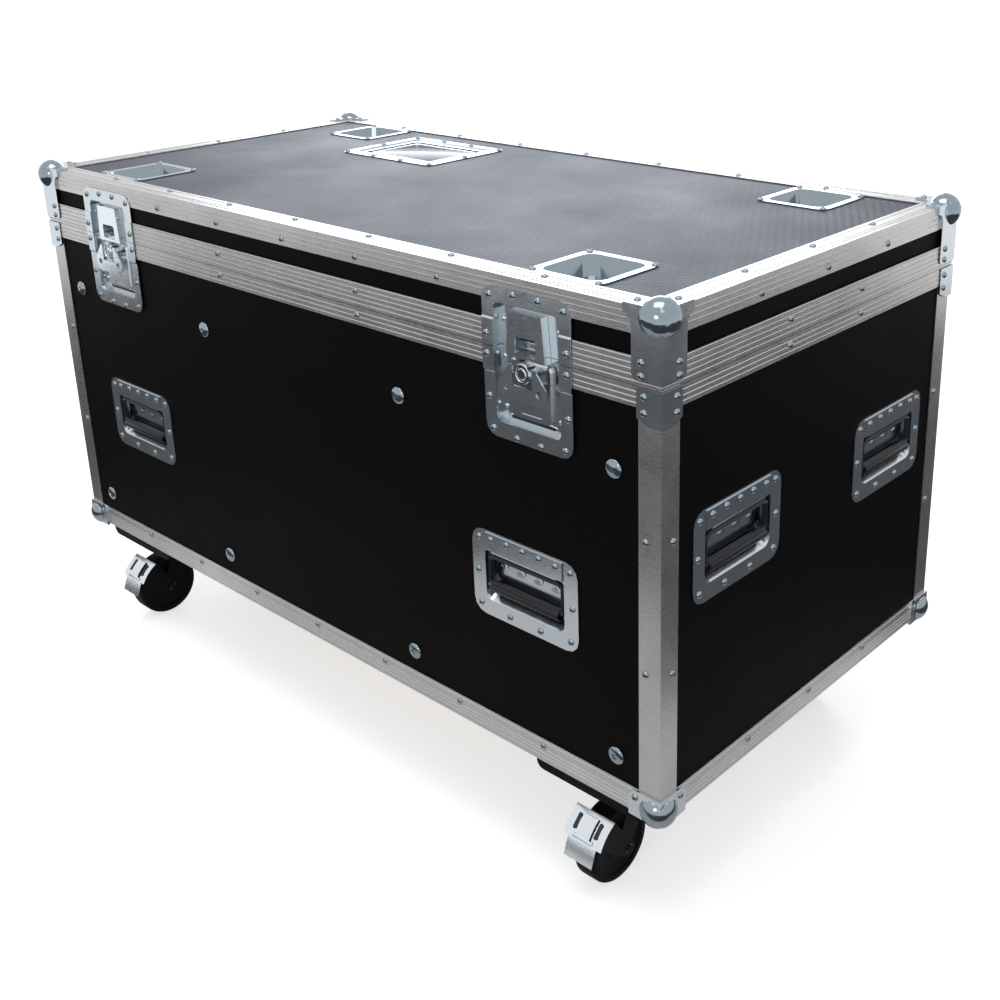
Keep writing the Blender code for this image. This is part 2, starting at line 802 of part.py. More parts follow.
# The lid, on an empty at the hinge line.
LID_FRAME = bpy.data.objects.new("lid_hinge_line", None)
LID_FRAME.parent = CASE
LID_FRAME.location = (0, HALF_D + HINGE_BACK, LID_SPLIT)
PARTS.objects.link(LID_FRAME)
TO_CASE = (0, -HALF_D - HINGE_BACK, -LID_SPLIT)

LID_FOOT = LID_SPLIT + FIT
LID_WALL_FOOT = LID_FOOT + LEG + FIT
LID_TOP_FOOT = CASE_HEIGHT - SKIN - LID_PANEL
LID_WALL_TOP = LID_TOP_FOOT - FIT
lid_walls_profile = [
    (SKIN, LID_WALL_FOOT),
    (SKIN + LID_PANEL, LID_WALL_FOOT),
    (SKIN + LID_PANEL, LID_WALL_TOP),
    (SKIN, LID_WALL_TOP),
]
lid_walls = part(
    "lid_walls", edge_ring("lid_walls", lid_walls_profile), "laminate", TO_CASE, parent=LID_FRAME
)
lid_sheet = block(
    "lid_top",
    (-HALF_L + SKIN, -HALF_D + SKIN, LID_TOP_FOOT),
    (HALF_L - SKIN, HALF_D - SKIN, CASE_HEIGHT - SKIN),
)
lid_top = part("lid_top", lid_sheet, "lid_laminate", TO_CASE, parent=LID_FRAME)
for side in LATCHES:
    cut(lid_walls, latch_cutter(f"wall_keeper_hole_{side}", side, THROUGH))

LID_BAND_TOP = LID_SPLIT + LID_BAND
lid_rib_heights = [LID_BAND_TOP - RIB_WIDTH - RIB_PITCH * i for i in range(LID_RIBS)]
lid_rim_profile = [
    (-BAND_PROUD, LID_FOOT),
    (LID_LEG_INSET + LEG, LID_FOOT),
    (LID_LEG_INSET + LEG, LID_FOOT + LID_INNER_LEG),
    (LID_LEG_INSET, LID_FOOT + LID_INNER_LEG),
    (LID_LEG_INSET, LID_FOOT + LEG),
    (FIT, LID_FOOT + LEG),
    (FIT, LID_BAND_TOP),
    (-BAND_PROUD, LID_BAND_TOP),
    *ribs(lid_rib_heights, BAND_PROUD),
]
lid_rim = part(
    "lid_rim", edge_ring("lid_rim", lid_rim_profile), "aluminium", TO_CASE, parent=LID_FRAME
)
for side in LATCHES:
    cut(lid_rim, latch_cutter(f"rim_keeper_hole_{side}", side, LATCH_BACK + FIT))

lid_edge_profile = [
    (0, CASE_HEIGHT),
    (0, CASE_HEIGHT - LID_SIDE_LEG),
    (LEG, CASE_HEIGHT - LID_SIDE_LEG),
    (LEG, CASE_HEIGHT - LEG),
    (LID_TOP_LEG, CASE_HEIGHT - LEG),
    (LID_TOP_LEG, CASE_HEIGHT),
]
lid_edge = part(
    "lid_edge_frame",
    edge_ring("lid_edge_frame", lid_edge_profile),
    "aluminium",
    TO_CASE,
    parent=LID_FRAME,
)
with_corners(
    lid_edge,
    ((skirt(LEG_LENGTH), PLATE_IN), (petals(), PAD_IN)),
    (skirt_pad(),),
    BALL_RADIUS,
    BALL_INSET,
    True,
    "lid",
)
def turned(name, profile, steps, closed=False):
    """A turned helper round Z, from (radius, height) points down its outer side."""
    bm = bmesh.new()
    verts = [bm.verts.new((r, 0, h)) for r, h in profile]
    pairs = zip(verts, verts[1:] + verts[:1]) if closed else zip(verts, verts[1:])
    for a, b in pairs:
        bm.edges.new((a, b))
    mesh = bpy.data.meshes.new(name)
    bm.to_mesh(mesh)
    bm.free()
    obj = tool(name, mesh)
    screw = obj.modifiers.new("turn", "SCREW")
    screw.steps = steps
    screw.render_steps = steps
    screw.use_merge_vertices = True
    screw.merge_threshold = 0.00001
    screw.use_smooth_shade = True
    return obj


def in_lid(x, y, z):
    """A place on the case, seen from the empty at the hinge line."""
    return (x, y - HALF_D - HINGE_BACK, z - LID_SPLIT)


# Recessed handles: a pressed dish with a hinge cover, and a bail that swings out of it.
DISH_FACE = SKIN - FIT - SHEET
handle_blank = tool(
    "handle_blank",
    loft(
        "handle_blank",
        dish_sections(HANDLE_FLANGE, HANDLE_RECESS, HANDLE_DRAFT, DISH_FACE, HANDLE_DEPTH),
    ),
)
cover_front = DISH_FACE - COVER_SHEET
cover_plate = block(
    "cover_plate",
    (-COVER_WIDTH / 2, cover_front, COVER_FOOT),
    (COVER_WIDTH / 2, DISH_FACE + SHEET / 2, COVER_TOP),
)
roll_half = COVER_ROLL_LENGTH / 2
cover_roll = barrel("cover_roll", COVER_ROLL, -roll_half, roll_half, 12)
cover_roll_at = (0, cover_front + COVER_ROLL, COVER_FOOT)
join(handle_blank, tool("cover_plate", cover_plate), tool("cover_roll", cover_roll, cover_roll_at))
handle_dish = baked("handle_dish", handle_blank)

bail_half = HANDLE_RECESS[0] / 2 - HANDLE_DRAFT[0] - BAIL_WIRE
bend = 2 * BAIL_WIRE
bail_path = [
    (bail_half - bend, 0),
    (bail_half, -bend / 2),
    (bail_half, -BAIL_DROP + bend),
    (bail_half - bend, -BAIL_DROP),
]
bail_path += mirrored(bail_path)
bail_curve = bpy.data.curves.new("bail_curve", "CURVE")
bail_curve.dimensions = "3D"
bail_curve.bevel_depth = BAIL_WIRE
bail_curve.bevel_resolution = 2
bail_spline = bail_curve.splines.new("POLY")
bail_spline.points.add(len(bail_path) - 1)
for point, (u, v) in zip(bail_spline.points, bail_path):
    point.co = (u, 0, v, 1)
bail_spline.use_cyclic_u = True
bail_wire = baked("bail_wire", tool("bail_curve", bail_curve))
grip = barrel("grip", GRIP_RADIUS, -GRIP_LENGTH / 2, GRIP_LENGTH / 2, 14)
for vert in grip.vertices:
    vert.co.y *= GRIP_FLATNESS
bail_blank = tool("bail_blank", bail_wire)
handle_bail = baked("handle_bail", join(bail_blank, tool("grip", grip, (0, 0, -BAIL_DROP))))

for side, (at, turn) in HANDLES.items():
    part(f"handle_dish_{side}", handle_dish, "zinc", at, turn)
    pivot = Matrix.Rotation(turn[2], 3, "Z") @ Vector((0, *BAIL_PIVOT))
    part(f"handle_bail_{side}", handle_bail, "grip", Vector(at) + pivot, turn)

# Dishes in the lid: four that take the wheels of a case stacked on top, and one for a label.
TOP_TURN = (-pi / 2, 0, 0)
castor_dish = loft(
    "castor_dish",
    dish_sections(CASTOR_FLANGE, CASTOR_RECESS, CASTOR_DRAFT, DISH_FACE, CASTOR_DISH_DEPTH),
)
for corner, (sx, sy) in CORNERS.items():
    x, y = sx * CASTOR_DISH_AT[0], sy * CASTOR_DISH_AT[1]
    name = f"castor_dish_{corner}"
    spot = ((x, y, CASE_HEIGHT), TOP_TURN)
    cut(lid_top, recess_cutter(f"{name}_hole", CASTOR_RECESS, spot, THROUGH))
    part(name, castor_dish, "zinc", in_lid(x, y, CASE_HEIGHT), TOP_TURN, LID_FRAME)

ledge_outer = drawn_in(LABEL_RECESS, LABEL_DRAFT)
ledge_inner = drawn_in(ledge_outer, (LABEL_LEDGE_WIDTH, LABEL_LEDGE_WIDTH))
label_draft = tuple(draft + LABEL_LEDGE_WIDTH for draft in LABEL_DRAFT)
label_dish = loft(
    "label_dish",
    dish_sections(
        LABEL_FLANGE,
        LABEL_RECESS,
        label_draft,
        DISH_FACE,
        LABEL_DEPTH,
        ((ledge_inner, LABEL_LEDGE), (ledge_outer, LABEL_LEDGE)),
    ),
)
label_spot = ((*LABEL_DISH_AT, CASE_HEIGHT), TOP_TURN)
cut(lid_top, recess_cutter("label_dish_hole", LABEL_RECESS, label_spot, THROUGH))
part("label_dish", label_dish, "zinc", in_lid(*label_spot[0]), TOP_TURN, LID_FRAME)


# Recessed latches: the dish is pressed whole, joggled over the band and cut at the lid joint.
def joggled(mesh, low, high, out, ramp, back):
    """Moves the flange outwards between two heights, with a ramp beyond each."""
    bm = bmesh.new()
    bm.from_mesh(mesh)
    for z in (low - ramp, low, high, high + ramp):
        geom = bm.verts[:] + bm.edges[:] + bm.faces[:]
        bmesh.ops.bisect_plane(bm, geom=geom, dist=1e-6, plane_co=(0, 0, z), plane_no=(0, 0, 1))
    for vert in bm.verts:
        if low - FIT / 2 < vert.co.z < high + FIT / 2 and vert.co.y < back:
            vert.co.y -= out
    return finish(bm, mesh.name)


def latch_blank(name):
    sections = dish_sections(LATCH_FLANGE, LATCH_RECESS, LATCH_DRAFT, -LATCH_FACE, LATCH_DEPTH)
    low, high = LATCH_DROP - JOGGLE_FOOT, LATCH_DROP + JOGGLE_TOP
    mesh = joggled(loft(name, sections), low, high, OVER_BAND - FIT, JOGGLE_RAMP, SHEET)
    return tool(name, mesh)


half_flange = LATCH_FLANGE[0]
below = block(
    "below_joint",
    (-half_flange, -half_flange, -2 * LATCH_FLANGE[1]),
    (half_flange, half_flange, LATCH_DROP + FIT),
)
above = block(
    "above_joint",
    (-half_flange, -half_flange, LATCH_DROP - FIT),
    (half_flange, half_flange, 2 * LATCH_FLANGE[1]),
)
keeper_dish = baked("keeper_dish", cut(latch_blank("keeper_blank"), tool("below_joint", below)))

housing_at = LATCH_DROP - HOUSING_TOP - HOUSING[1] / 2
housing_front = LATCH_DEPTH - HOUSING_RAISE
housing = tool(
    "latch_housing",
    loft(
        "latch_housing",
        [
            (*HOUSING, LATCH_DEPTH + SHEET / 2),
            (*HOUSING, housing_front + HOUSING_RAISE / 2),
            (*grown(HOUSING, -HOUSING_RAISE / 2), housing_front),
        ],
    ),
    (0, 0, housing_at),
)
slot_foot = LATCH_DROP - HOUSING_TOP - HOUSING[1] + HOUSING_SLOT_RISE
slot = block(
    "housing_slot",
    (-HOUSING_SLOT[0] / 2, -LATCH_DEPTH, slot_foot),
    (HOUSING_SLOT[0] / 2, housing_front + HOUSING_SLOT[2], slot_foot + HOUSING_SLOT[1]),
)
spindle_bore = barrel("spindle_bore", SPINDLE_SHAFT + FIT, -LATCH_DEPTH, LATCH_DEPTH, 16, "Y")
spindle_bore = tool("spindle_bore", spindle_bore, (0, 0, LATCH_DROP - SPINDLE_DROP))
lower_blank = cut(latch_blank("lower_blank"), tool("above_joint", above))
join(lower_blank, housing)
latch_dish = baked("latch_dish", cut(lower_blank, tool("housing_slot", slot), spindle_bore))

head_back = housing_front - FIT
spindle_blank = turned(
    "spindle_blank",
    [
        (0, SPINDLE_FRONT),
        (SPINDLE_RINGS[0] - SPINDLE_GROOVE / 2, SPINDLE_FRONT),
        (SPINDLE_RINGS[0], SPINDLE_FRONT - SPINDLE_GROOVE),
        (SPINDLE_RINGS[1], SPINDLE_FRONT - SPINDLE_GROOVE),
        (SPINDLE_RINGS[1] + SPINDLE_GROOVE / 2, SPINDLE_FRONT),
        (SPINDLE_HEAD - SPINDLE_GROOVE / 2, SPINDLE_FRONT),
        (SPINDLE_HEAD, SPINDLE_FRONT - SPINDLE_GROOVE / 2),
        (SPINDLE_HEAD, -head_back),
        (SPINDLE_SHAFT, -head_back),
        (SPINDLE_SHAFT, FIT - LATCH_DEPTH),
        (0, FIT - LATCH_DEPTH),
    ],
    20,
)
pin_reach = WING_NOTCH - FIT
cross_pin = barrel("cross_pin", PIN_RADIUS, -pin_reach, pin_reach, 8)
spindle = baked("latch_spindle", join(spindle_blank, tool("cross_pin", cross_pin, (0, 0, PIN_FRONT))))

wing_lobe = (WING_LOBE_AT[0], -WING_LOBE_AT[1])
wing_side = [
    (WING_NOTCH, -WING_NOTCH_FOOT),
    (WING_NOTCH, WING_RISE),
    (WING_NOTCH + WING_SHOULDER, WING_RISE),
    *arc(wing_lobe, WING_LOBE, WING_SLOPE, -115, 9),
    (WING_LOBE_AT[0] / 3, -WING_LOBE_AT[1] - WING_WAIST),
]
wing_outline = wing_side + mirrored(wing_side)
wing_blank = slab("wing_blank", wing_outline, -WING_SHEET / 2, WING_SHEET / 2)
wing_blank = tool("wing_blank", wing_blank)
for sign in (-1, 1):
    hole = barrel(f"wing_hole_{sign}", WING_HOLE, -WING_SHEET, WING_SHEET, 12, "Y")
    at = (sign * WING_HOLE_AT[0], 0, -WING_HOLE_AT[1])
    cut(wing_blank, tool(f"wing_hole_{sign}", hole, at))
wing = baked("latch_wing", wing_blank)

tongue_back = LATCH_DEPTH - FIT
tongue_outline = [
    (TONGUE_WIDTH / 2, TONGUE_TOP),
    (TONGUE_FOOT_WIDTH / 2, -TONGUE_FOOT),
]
tongue_outline += mirrored(tongue_outline)
tongue_hollow = [
    (TONGUE_WIDTH / 2 - TONGUE_SHEET, TONGUE_TOP - TONGUE_SHEET),
    (TONGUE_FOOT_WIDTH / 2 - TONGUE_SHEET, -2 * TONGUE_FOOT),
]
tongue_hollow += mirrored(tongue_hollow)
tongue_blank = tool("tongue_blank", slab("tongue_blank", tongue_outline, -TONGUE_FACE, tongue_back))
tongue_inside = slab("tongue_inside", tongue_hollow, TONGUE_SHEET - TONGUE_FACE, 2 * LATCH_DEPTH)
window = [(u, v + TONGUE_WINDOW_AT) for u, v in rounded_rect(*TONGUE_WINDOW)]
window = slab("tongue_window", window, -2 * TONGUE_FACE, 0)
cut(tongue_blank, tool("tongue_inside", tongue_inside), tool("tongue_window", window))
tongue = baked("latch_tongue", tongue_blank)

for side, ((x, y, z), turn) in LATCHES.items():
    centre = (x, y, z - LATCH_DROP)
    part(f"latch_dish_{side}", latch_dish, "zinc", centre, turn)
    part(f"keeper_dish_{side}", keeper_dish, "zinc", in_lid(*centre), turn, LID_FRAME)
    part(f"latch_tongue_{side}", tongue, "bright_zinc", (x, y, z), turn)
    turn_axis = (x, y, z - SPINDLE_DROP)
    outwards = (pi / 2, 0, turn[2])
    part(f"latch_spindle_{side}", spindle, "bright_zinc", turn_axis, outwards)
    fold_axis = (x, y - PIN_FRONT, z - SPINDLE_DROP)
    part(f"latch_wing_{side}", wing, "bright_zinc", fold_axis, turn)


# The piano hinge: two leaves whose knuckles share one pin.
def leaf(name, sign):
    """A leaf above (1) or below (-1) the pin, with every other knuckle of the barrel."""
    pitch = HINGE_LENGTH / HINGE_KNUCKLES
    near, clear, far = RUNNING, HINGE_BARREL + RUNNING, HINGE_LEAF
    edge, spans = [], []
    for i in range(HINGE_KNUCKLES):
        start = -HINGE_LENGTH / 2 + pitch * i
        own = (i % 2 == 0) == (sign < 0)
        root = near if own else clear
        play = FIT if own else -FIT
        edge += [(start + play, root), (start + pitch - play, root)]
        if own:
            spans.append((start + play, start + pitch - play))
    edge[0] = (-HINGE_LENGTH / 2, edge[0][1])
    edge[-1] = (HINGE_LENGTH / 2, edge[-1][1])
    outline = [(u, sign * v) for u, v in edge]
    outline += [(HINGE_LENGTH / 2, sign * far), (-HINGE_LENGTH / 2, sign * far)]
    face = HINGE_BACK - OVER_BAND
    plate = slab(name, outline, face - HINGE_SHEET, face)
    bm = bmesh.new()
    for low, high in spans:
        made = bmesh.ops.create_cone(
            bm,
            cap_ends=True,
            segments=10,
            radius1=HINGE_BARREL,
            radius2=HINGE_BARREL,
            depth=high - low,
        )
        turn = Matrix.Rotation(pi / 2, 3, "Y")
        bmesh.ops.rotate(bm, matrix=turn, verts=made["verts"])
        bmesh.ops.translate(bm, vec=((low + high) / 2, 0, 0), verts=made["verts"])
    return plate, finish(bm, f"{name}_knuckles")


hinge_at, hinge_turn = on_wall(BACK, 0, LID_SPLIT, HINGE_BACK)
pin_half = HINGE_LENGTH / 2 - FIT
for name, sign, parent in (("hinge_leaf_body", -1, None), ("hinge_leaf_lid", 1, LID_FRAME)):
    plate, knuckles = leaf(name, sign)
    at = in_lid(*hinge_at) if parent else hinge_at
    obj = part(name, plate, "aluminium", at, hinge_turn, parent)
    join(obj, tool(f"{name}_knuckles", knuckles, hinge_at, hinge_turn))
    if sign < 0:
        pin = barrel("hinge_pin", HINGE_PIN, -pin_half, pin_half, 8)
        join(obj, tool("hinge_pin", pin, hinge_at, hinge_turn))
    else:
        bore = barrel("hinge_bore", HINGE_PIN + FIT, -HINGE_LENGTH, HINGE_LENGTH, 8)
        cut(obj, tool("hinge_bore", bore, hinge_at, hinge_turn))

# Caster boards: a plank under each end, with rounded lower corners.
board_half = HALF_D - BOARD_SETBACK
board_low, board_high = -FIT - BOARD_THICK, -FIT
for name, sign in (("left", -1), ("right", 1)):
    inner, outer = sorted((sign * (HALF_L - BOARD_END), sign * (HALF_L - BOARD_END - BOARD_WIDTH)))
    round_left = arc((inner + BOARD_ROUND, board_low + BOARD_ROUND), BOARD_ROUND, 180, 270, 3)
    round_right = arc((outer - BOARD_ROUND, board_low + BOARD_ROUND), BOARD_ROUND, 270, 360, 3)
    outline = [(inner, board_high), *round_left, *round_right, (outer, board_high)]
    mesh = slab(f"caster_board_{name}", outline, -board_half, board_half)
    part(f"caster_board_{name}", mesh, "black_board")

# Casters: a plate with its race, a fork that swivels in it, and a wheel on the fork's axle.
plate_top = board_low - FIT
race_foot = plate_top - CASTER_PLATE[2] - RACE_DEPTH
crown_top = race_foot - FIT
axle_low = -AXLE_HEIGHT - crown_top
plate_outline = rounded_rect(CASTER_PLATE[0], CASTER_PLATE[1], CASTER_PLATE_ROUND)
plate_blank = tool(
    "plate_blank",
    slab("plate_blank", plate_outline, plate_top - CASTER_PLATE[2], plate_top, "XY"),
)
race = barrel("race", RACE_RADIUS, race_foot, plate_top - CASTER_PLATE[2] / 2, 24, "Z")
bore = barrel("kingpin_bore", KINGPIN + FIT, race_foot - LEG, plate_top + LEG, 16, "Z")
join(plate_blank, tool("race", race))
caster_plate = baked("caster_plate", cut(plate_blank, tool("kingpin_bore", bore)))

crown = tool("crown", barrel("crown", CROWN_RADIUS, -CROWN_DEPTH, 0, 24, "Z"))
kingpin_top = plate_top - FIT - crown_top
kingpin = tool("kingpin", barrel("kingpin", KINGPIN, -CROWN_DEPTH / 2, kingpin_top, 16, "Z"))
foot_circle = arc((-TRAIL, axle_low), FORK_FOOT, 0, 330, 11)
shoulder = sqrt(CROWN_RADIUS**2 - (FORK_INSIDE / 2 + FORK_LEG) ** 2)
fork_side = [(shoulder, -CROWN_DEPTH / 4), (-shoulder, -CROWN_DEPTH / 4)]
fork_side += [(shoulder, -CROWN_DEPTH * 2), (-shoulder, -CROWN_DEPTH * 2), *foot_circle]
for sign in (-1, 1):
    span = sorted((sign * FORK_INSIDE / 2, sign * (FORK_INSIDE / 2 + FORK_LEG)))
    join(crown, tool(f"fork_leg_{sign}", hull(f"fork_leg_{sign}", fork_side, *span)))
axle = barrel("axle", AXLE_RADIUS, -AXLE_LENGTH / 2, AXLE_LENGTH / 2, 12)
join(crown, kingpin, tool("axle", axle, (0, -TRAIL, axle_low)))
caster_fork = baked("caster_fork", crown)

tread, side_wall = WHEEL_RADIUS - TREAD_CROWN, WHEEL_RADIUS - TREAD_ROUND[1]
half_wheel, half_hub, half_web = WHEEL_WIDTH / 2, HUB_LENGTH / 2, WEB / 2
rim_inside = WHEEL_RADIUS - TYRE
wheel_side = [
    (WHEEL_RADIUS, half_wheel - TYRE / 2),
    (tread, half_wheel - TREAD_ROUND[0]),
    (side_wall, half_wheel),
    (rim_inside, half_wheel),
    (rim_inside - half_web / 3, half_web),
    (HUB_RADIUS + half_web / 3, half_web),
    (HUB_RADIUS, half_hub),
    (AXLE_RADIUS + FIT, half_hub),
]
wheel_profile = [*reversed(wheel_side), *((r, -h) for r, h in wheel_side)]
caster_wheel = baked("caster_wheel", turned("wheel_blank", wheel_profile, 22, True))

first, middle, last = PEDAL_ANGLES
outer_radius = PEDAL_INSIDE + PEDAL_SHEET
cheek_side = arc((0, 0), 2 * AXLE_RADIUS, 0, 330, 11)
cheek_side += arc((0, 0), PEDAL_INSIDE + PEDAL_SHEET / 2, 180 - last, 180 - middle, 5)


def sector(inner, outer, low, high, steps):
    """A band of a ring over the front of the wheel, between two angles above its axle."""
    outside = arc((0, 0), outer, 180 - high, 180 - low, steps)
    inside = arc((0, 0), inner, 180 - low, 180 - high, steps)
    return outside + inside


pedal_blank = tool(
    "pedal_blank",
    slab(
        "pedal_blank",
        sector(PEDAL_INSIDE, outer_radius, middle, last, 5),
        -PEDAL_WIDTH / 2,
        PEDAL_WIDTH / 2,
        "YZ",
    ),
)
toe = arc((0, 0), PEDAL_TOE, 180 - first, 180 - first, 1)[:1]
toe_inside = arc((0, 0), PEDAL_TOE - PEDAL_SHEET, 180 - first, 180 - first, 1)[:1]
lip = sector(PEDAL_INSIDE, outer_radius, middle - 1, middle + 3, 1)
lip = [lip[0], lip[1], *toe, *toe_inside, lip[2], lip[3]]
lip = slab("pedal_lip", lip, -PEDAL_LIP_WIDTH / 2, PEDAL_LIP_WIDTH / 2, "YZ")
tab = sector(PEDAL_INSIDE + PEDAL_SHEET / 2, outer_radius + PEDAL_TAB[1], middle + 6, last - 6, 4)
tab = slab("pedal_tab", tab, -PEDAL_TAB[0] / 2, PEDAL_TAB[0] / 2, "YZ")
join(pedal_blank, tool("pedal_lip", lip), tool("pedal_tab", tab))
for sign in (-1, 1):
    span = sorted((sign * PEDAL_WIDTH / 2, sign * (PEDAL_WIDTH / 2 - PEDAL_SHEET)))
    join(pedal_blank, tool(f"pedal_cheek_{sign}", hull(f"pedal_cheek_{sign}", cheek_side, *span)))
axle_hole = barrel("pedal_bore", AXLE_RADIUS + FIT, -PEDAL_WIDTH, PEDAL_WIDTH, 12)
brake_pedal = baked("brake_pedal", cut(pedal_blank, tool("pedal_bore", axle_hole)))

for corner, (sx, sy) in CORNERS.items():
    at = (sx * (HALF_L - CASTER_END), sy * (HALF_D - CASTER_FRONT), 0)
    part(f"caster_plate_{corner}", caster_plate, "zinc", at)
    turn = 0 if sy < 0 else -pi / 2
    swivel = (at[0], at[1], crown_top)
    fork = part(f"caster_fork_{corner}", caster_fork, "black_metal", swivel, (0, 0, turn))
    axle_at = (0, -TRAIL, axle_low)
    wheel = part(f"caster_wheel_{corner}", caster_wheel, "wheel", axle_at, parent=fork)
    wheel.rotation_euler = (0, pi / 2, 0)
    if sy < 0:
        part(f"brake_pedal_{corner}", brake_pedal, "bright_zinc", axle_at, parent=fork)
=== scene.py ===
"""Flight case: finishes and fine fittings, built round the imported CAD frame.

Laid out as a Blender add-on and run as a script. Metres, +Z up, in the frame of the CAD part.
Fittings are drawn flat in the XY plane with +Z out of the wall, and are then turned on to it.
"""

import json
from functools import cache
from math import cos, pi, radians, sin

import bmesh
import bpy
from bpy.props import FloatProperty, FloatVectorProperty, IntProperty, PointerProperty
from mathutils import Matrix, Vector
from mathutils.bvhtree import BVHTree

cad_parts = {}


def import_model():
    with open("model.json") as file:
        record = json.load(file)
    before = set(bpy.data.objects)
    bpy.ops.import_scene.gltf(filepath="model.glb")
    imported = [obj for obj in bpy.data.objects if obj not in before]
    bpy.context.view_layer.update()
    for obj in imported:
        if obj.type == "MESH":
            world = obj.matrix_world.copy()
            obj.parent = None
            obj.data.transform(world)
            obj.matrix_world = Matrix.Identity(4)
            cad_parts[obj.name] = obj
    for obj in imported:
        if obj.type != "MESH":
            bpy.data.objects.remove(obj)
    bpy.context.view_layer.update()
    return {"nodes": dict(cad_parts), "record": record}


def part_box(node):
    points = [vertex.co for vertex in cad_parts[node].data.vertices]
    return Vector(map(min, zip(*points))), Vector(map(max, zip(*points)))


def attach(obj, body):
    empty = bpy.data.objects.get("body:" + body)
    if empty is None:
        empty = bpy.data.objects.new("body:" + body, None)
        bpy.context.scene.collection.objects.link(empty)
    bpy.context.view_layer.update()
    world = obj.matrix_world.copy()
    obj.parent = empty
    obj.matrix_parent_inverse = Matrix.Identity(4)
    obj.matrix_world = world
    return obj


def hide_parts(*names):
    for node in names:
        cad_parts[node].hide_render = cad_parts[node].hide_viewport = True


bl_info = {
    "name": "Flight case looks",
    "version": (1, 0, 0),
    "blender": (4, 5, 0),
    "location": "View3D > Sidebar > Flight case",
    "description": "Finishes, rivets and fine fittings for a flight case",
    "category": "Object",
}

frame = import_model()

CORNERS = {"front_left": (-1, -1), "front_right": (1, -1), "back_right": (1, 1), "back_left": (-1, 1)}
SIDES = {"left": -1, "right": 1}
BOARD_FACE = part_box("caster_board_left")[1].z
MIDDLE = (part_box("lid_top")[0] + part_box("lid_top")[1]) / 2
HALF_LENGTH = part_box("lid_top")[1].x + 0.0018
HALF_DEPTH = 0.300
CASE_FOOT = BOARD_FACE + 0.0003
CASE_HEIGHT = 0.588
SPLIT = 0.507

# A wall's frame: along it, up it and out of it, with the distance of its face.
WALLS = {
    "front": ((1, 0, 0), (0, 0, 1), (0, -1, 0), HALF_DEPTH),
    "right": ((0, 1, 0), (0, 0, 1), (1, 0, 0), HALF_LENGTH),
    "back": ((-1, 0, 0), (0, 0, 1), (0, 1, 0), HALF_DEPTH),
    "left": ((0, -1, 0), (0, 0, 1), (-1, 0, 0), HALF_LENGTH),
    "top": ((1, 0, 0), (0, 1, 0), (0, 0, 1), CASE_HEIGHT),
}
HANDLES = {
    "front_left": ("front", -0.403, 0.222),
    "front_right": ("front", 0.403, 0.222),
    "right_front": ("right", -0.163, 0.299),
    "right_back": ("right", 0.163, 0.299),
    "left_front": ("left", 0.163, 0.299),
    "left_back": ("left", -0.163, 0.299),
}
LATCH_AT = 0.420
CASTOR_DISH_AT = (0.441, 0.215)
LABEL_AT = (-0.233, 0.148)


def length_property(name, description, default):
    return FloatProperty(name=name, description=description, unit="LENGTH", default=default)


def colour_property(name, description, default):
    return FloatVectorProperty(name=name, description=description, subtype="COLOR", default=default)


class FlightCaseSizes(bpy.types.PropertyGroup):
    """Sizes of the small fittings."""

    rivet_radius: length_property("Rivet", "Radius of a rivet's head", 0.0043)
    rivet_height: length_property("Rivet height", "Rise of its head", 0.0024)
    rivet_steps: IntProperty(name="Rivet steps", description="Facets round a rivet", default=12, min=6, max=24)
    bolt_radius: length_property("Dome bolt", "Radius of its head", 0.0110)
    bolt_height: length_property("Dome height", "Rise of its head", 0.0042)
    rib_height: length_property("Rib", "Rise of an extrusion's ribs", 0.0006)
    grip_radius: length_property("Grip", "Half a grip's height", 0.0074)
    tyre_round: length_property("Tyre edge", "Rounding of a tread", 0.0050)


class FlightCaseColours(bpy.types.PropertyGroup):
    """Colours of the finishes."""

    laminate: colour_property("Laminate", "Walls of the case", (0.0026, 0.0025, 0.0027))
    lid_laminate: colour_property("Lid laminate", "Panel of the lid", (0.070, 0.082, 0.110))
    aluminium: colour_property("Aluminium", "Edge extrusions", (0.52, 0.51, 0.515))
    zinc: colour_property("Zinc", "Pressed steel fittings", (0.53, 0.60, 0.66))
    # Darker copy of the zinc; on the ball corners it is painted shade.
    deep: colour_property("Deep zinc", "Rivets, balls and the lid's dishes", (0.26, 0.32, 0.37))
    bright: colour_property("Bright zinc", "Rivets and moving latch pieces", (0.68, 0.74, 0.79))
    grip: colour_property("Grip", "Handle grips", (0.0070, 0.0080, 0.0105))
    board: colour_property("Board", "Painted caster boards", (0.0032, 0.0032, 0.0034))
    tyre: colour_property("Tyre", "Tread of the wheels", (0.0030, 0.0036, 0.0046))
    plywood: colour_property("Plywood", "Plain wood inside the case", (0.40, 0.27, 0.15))


def sizes():
    return bpy.context.scene.flight_case_sizes


def colours():
    return bpy.context.scene.flight_case_colours


# ---------------------------------------------------------------- finishes


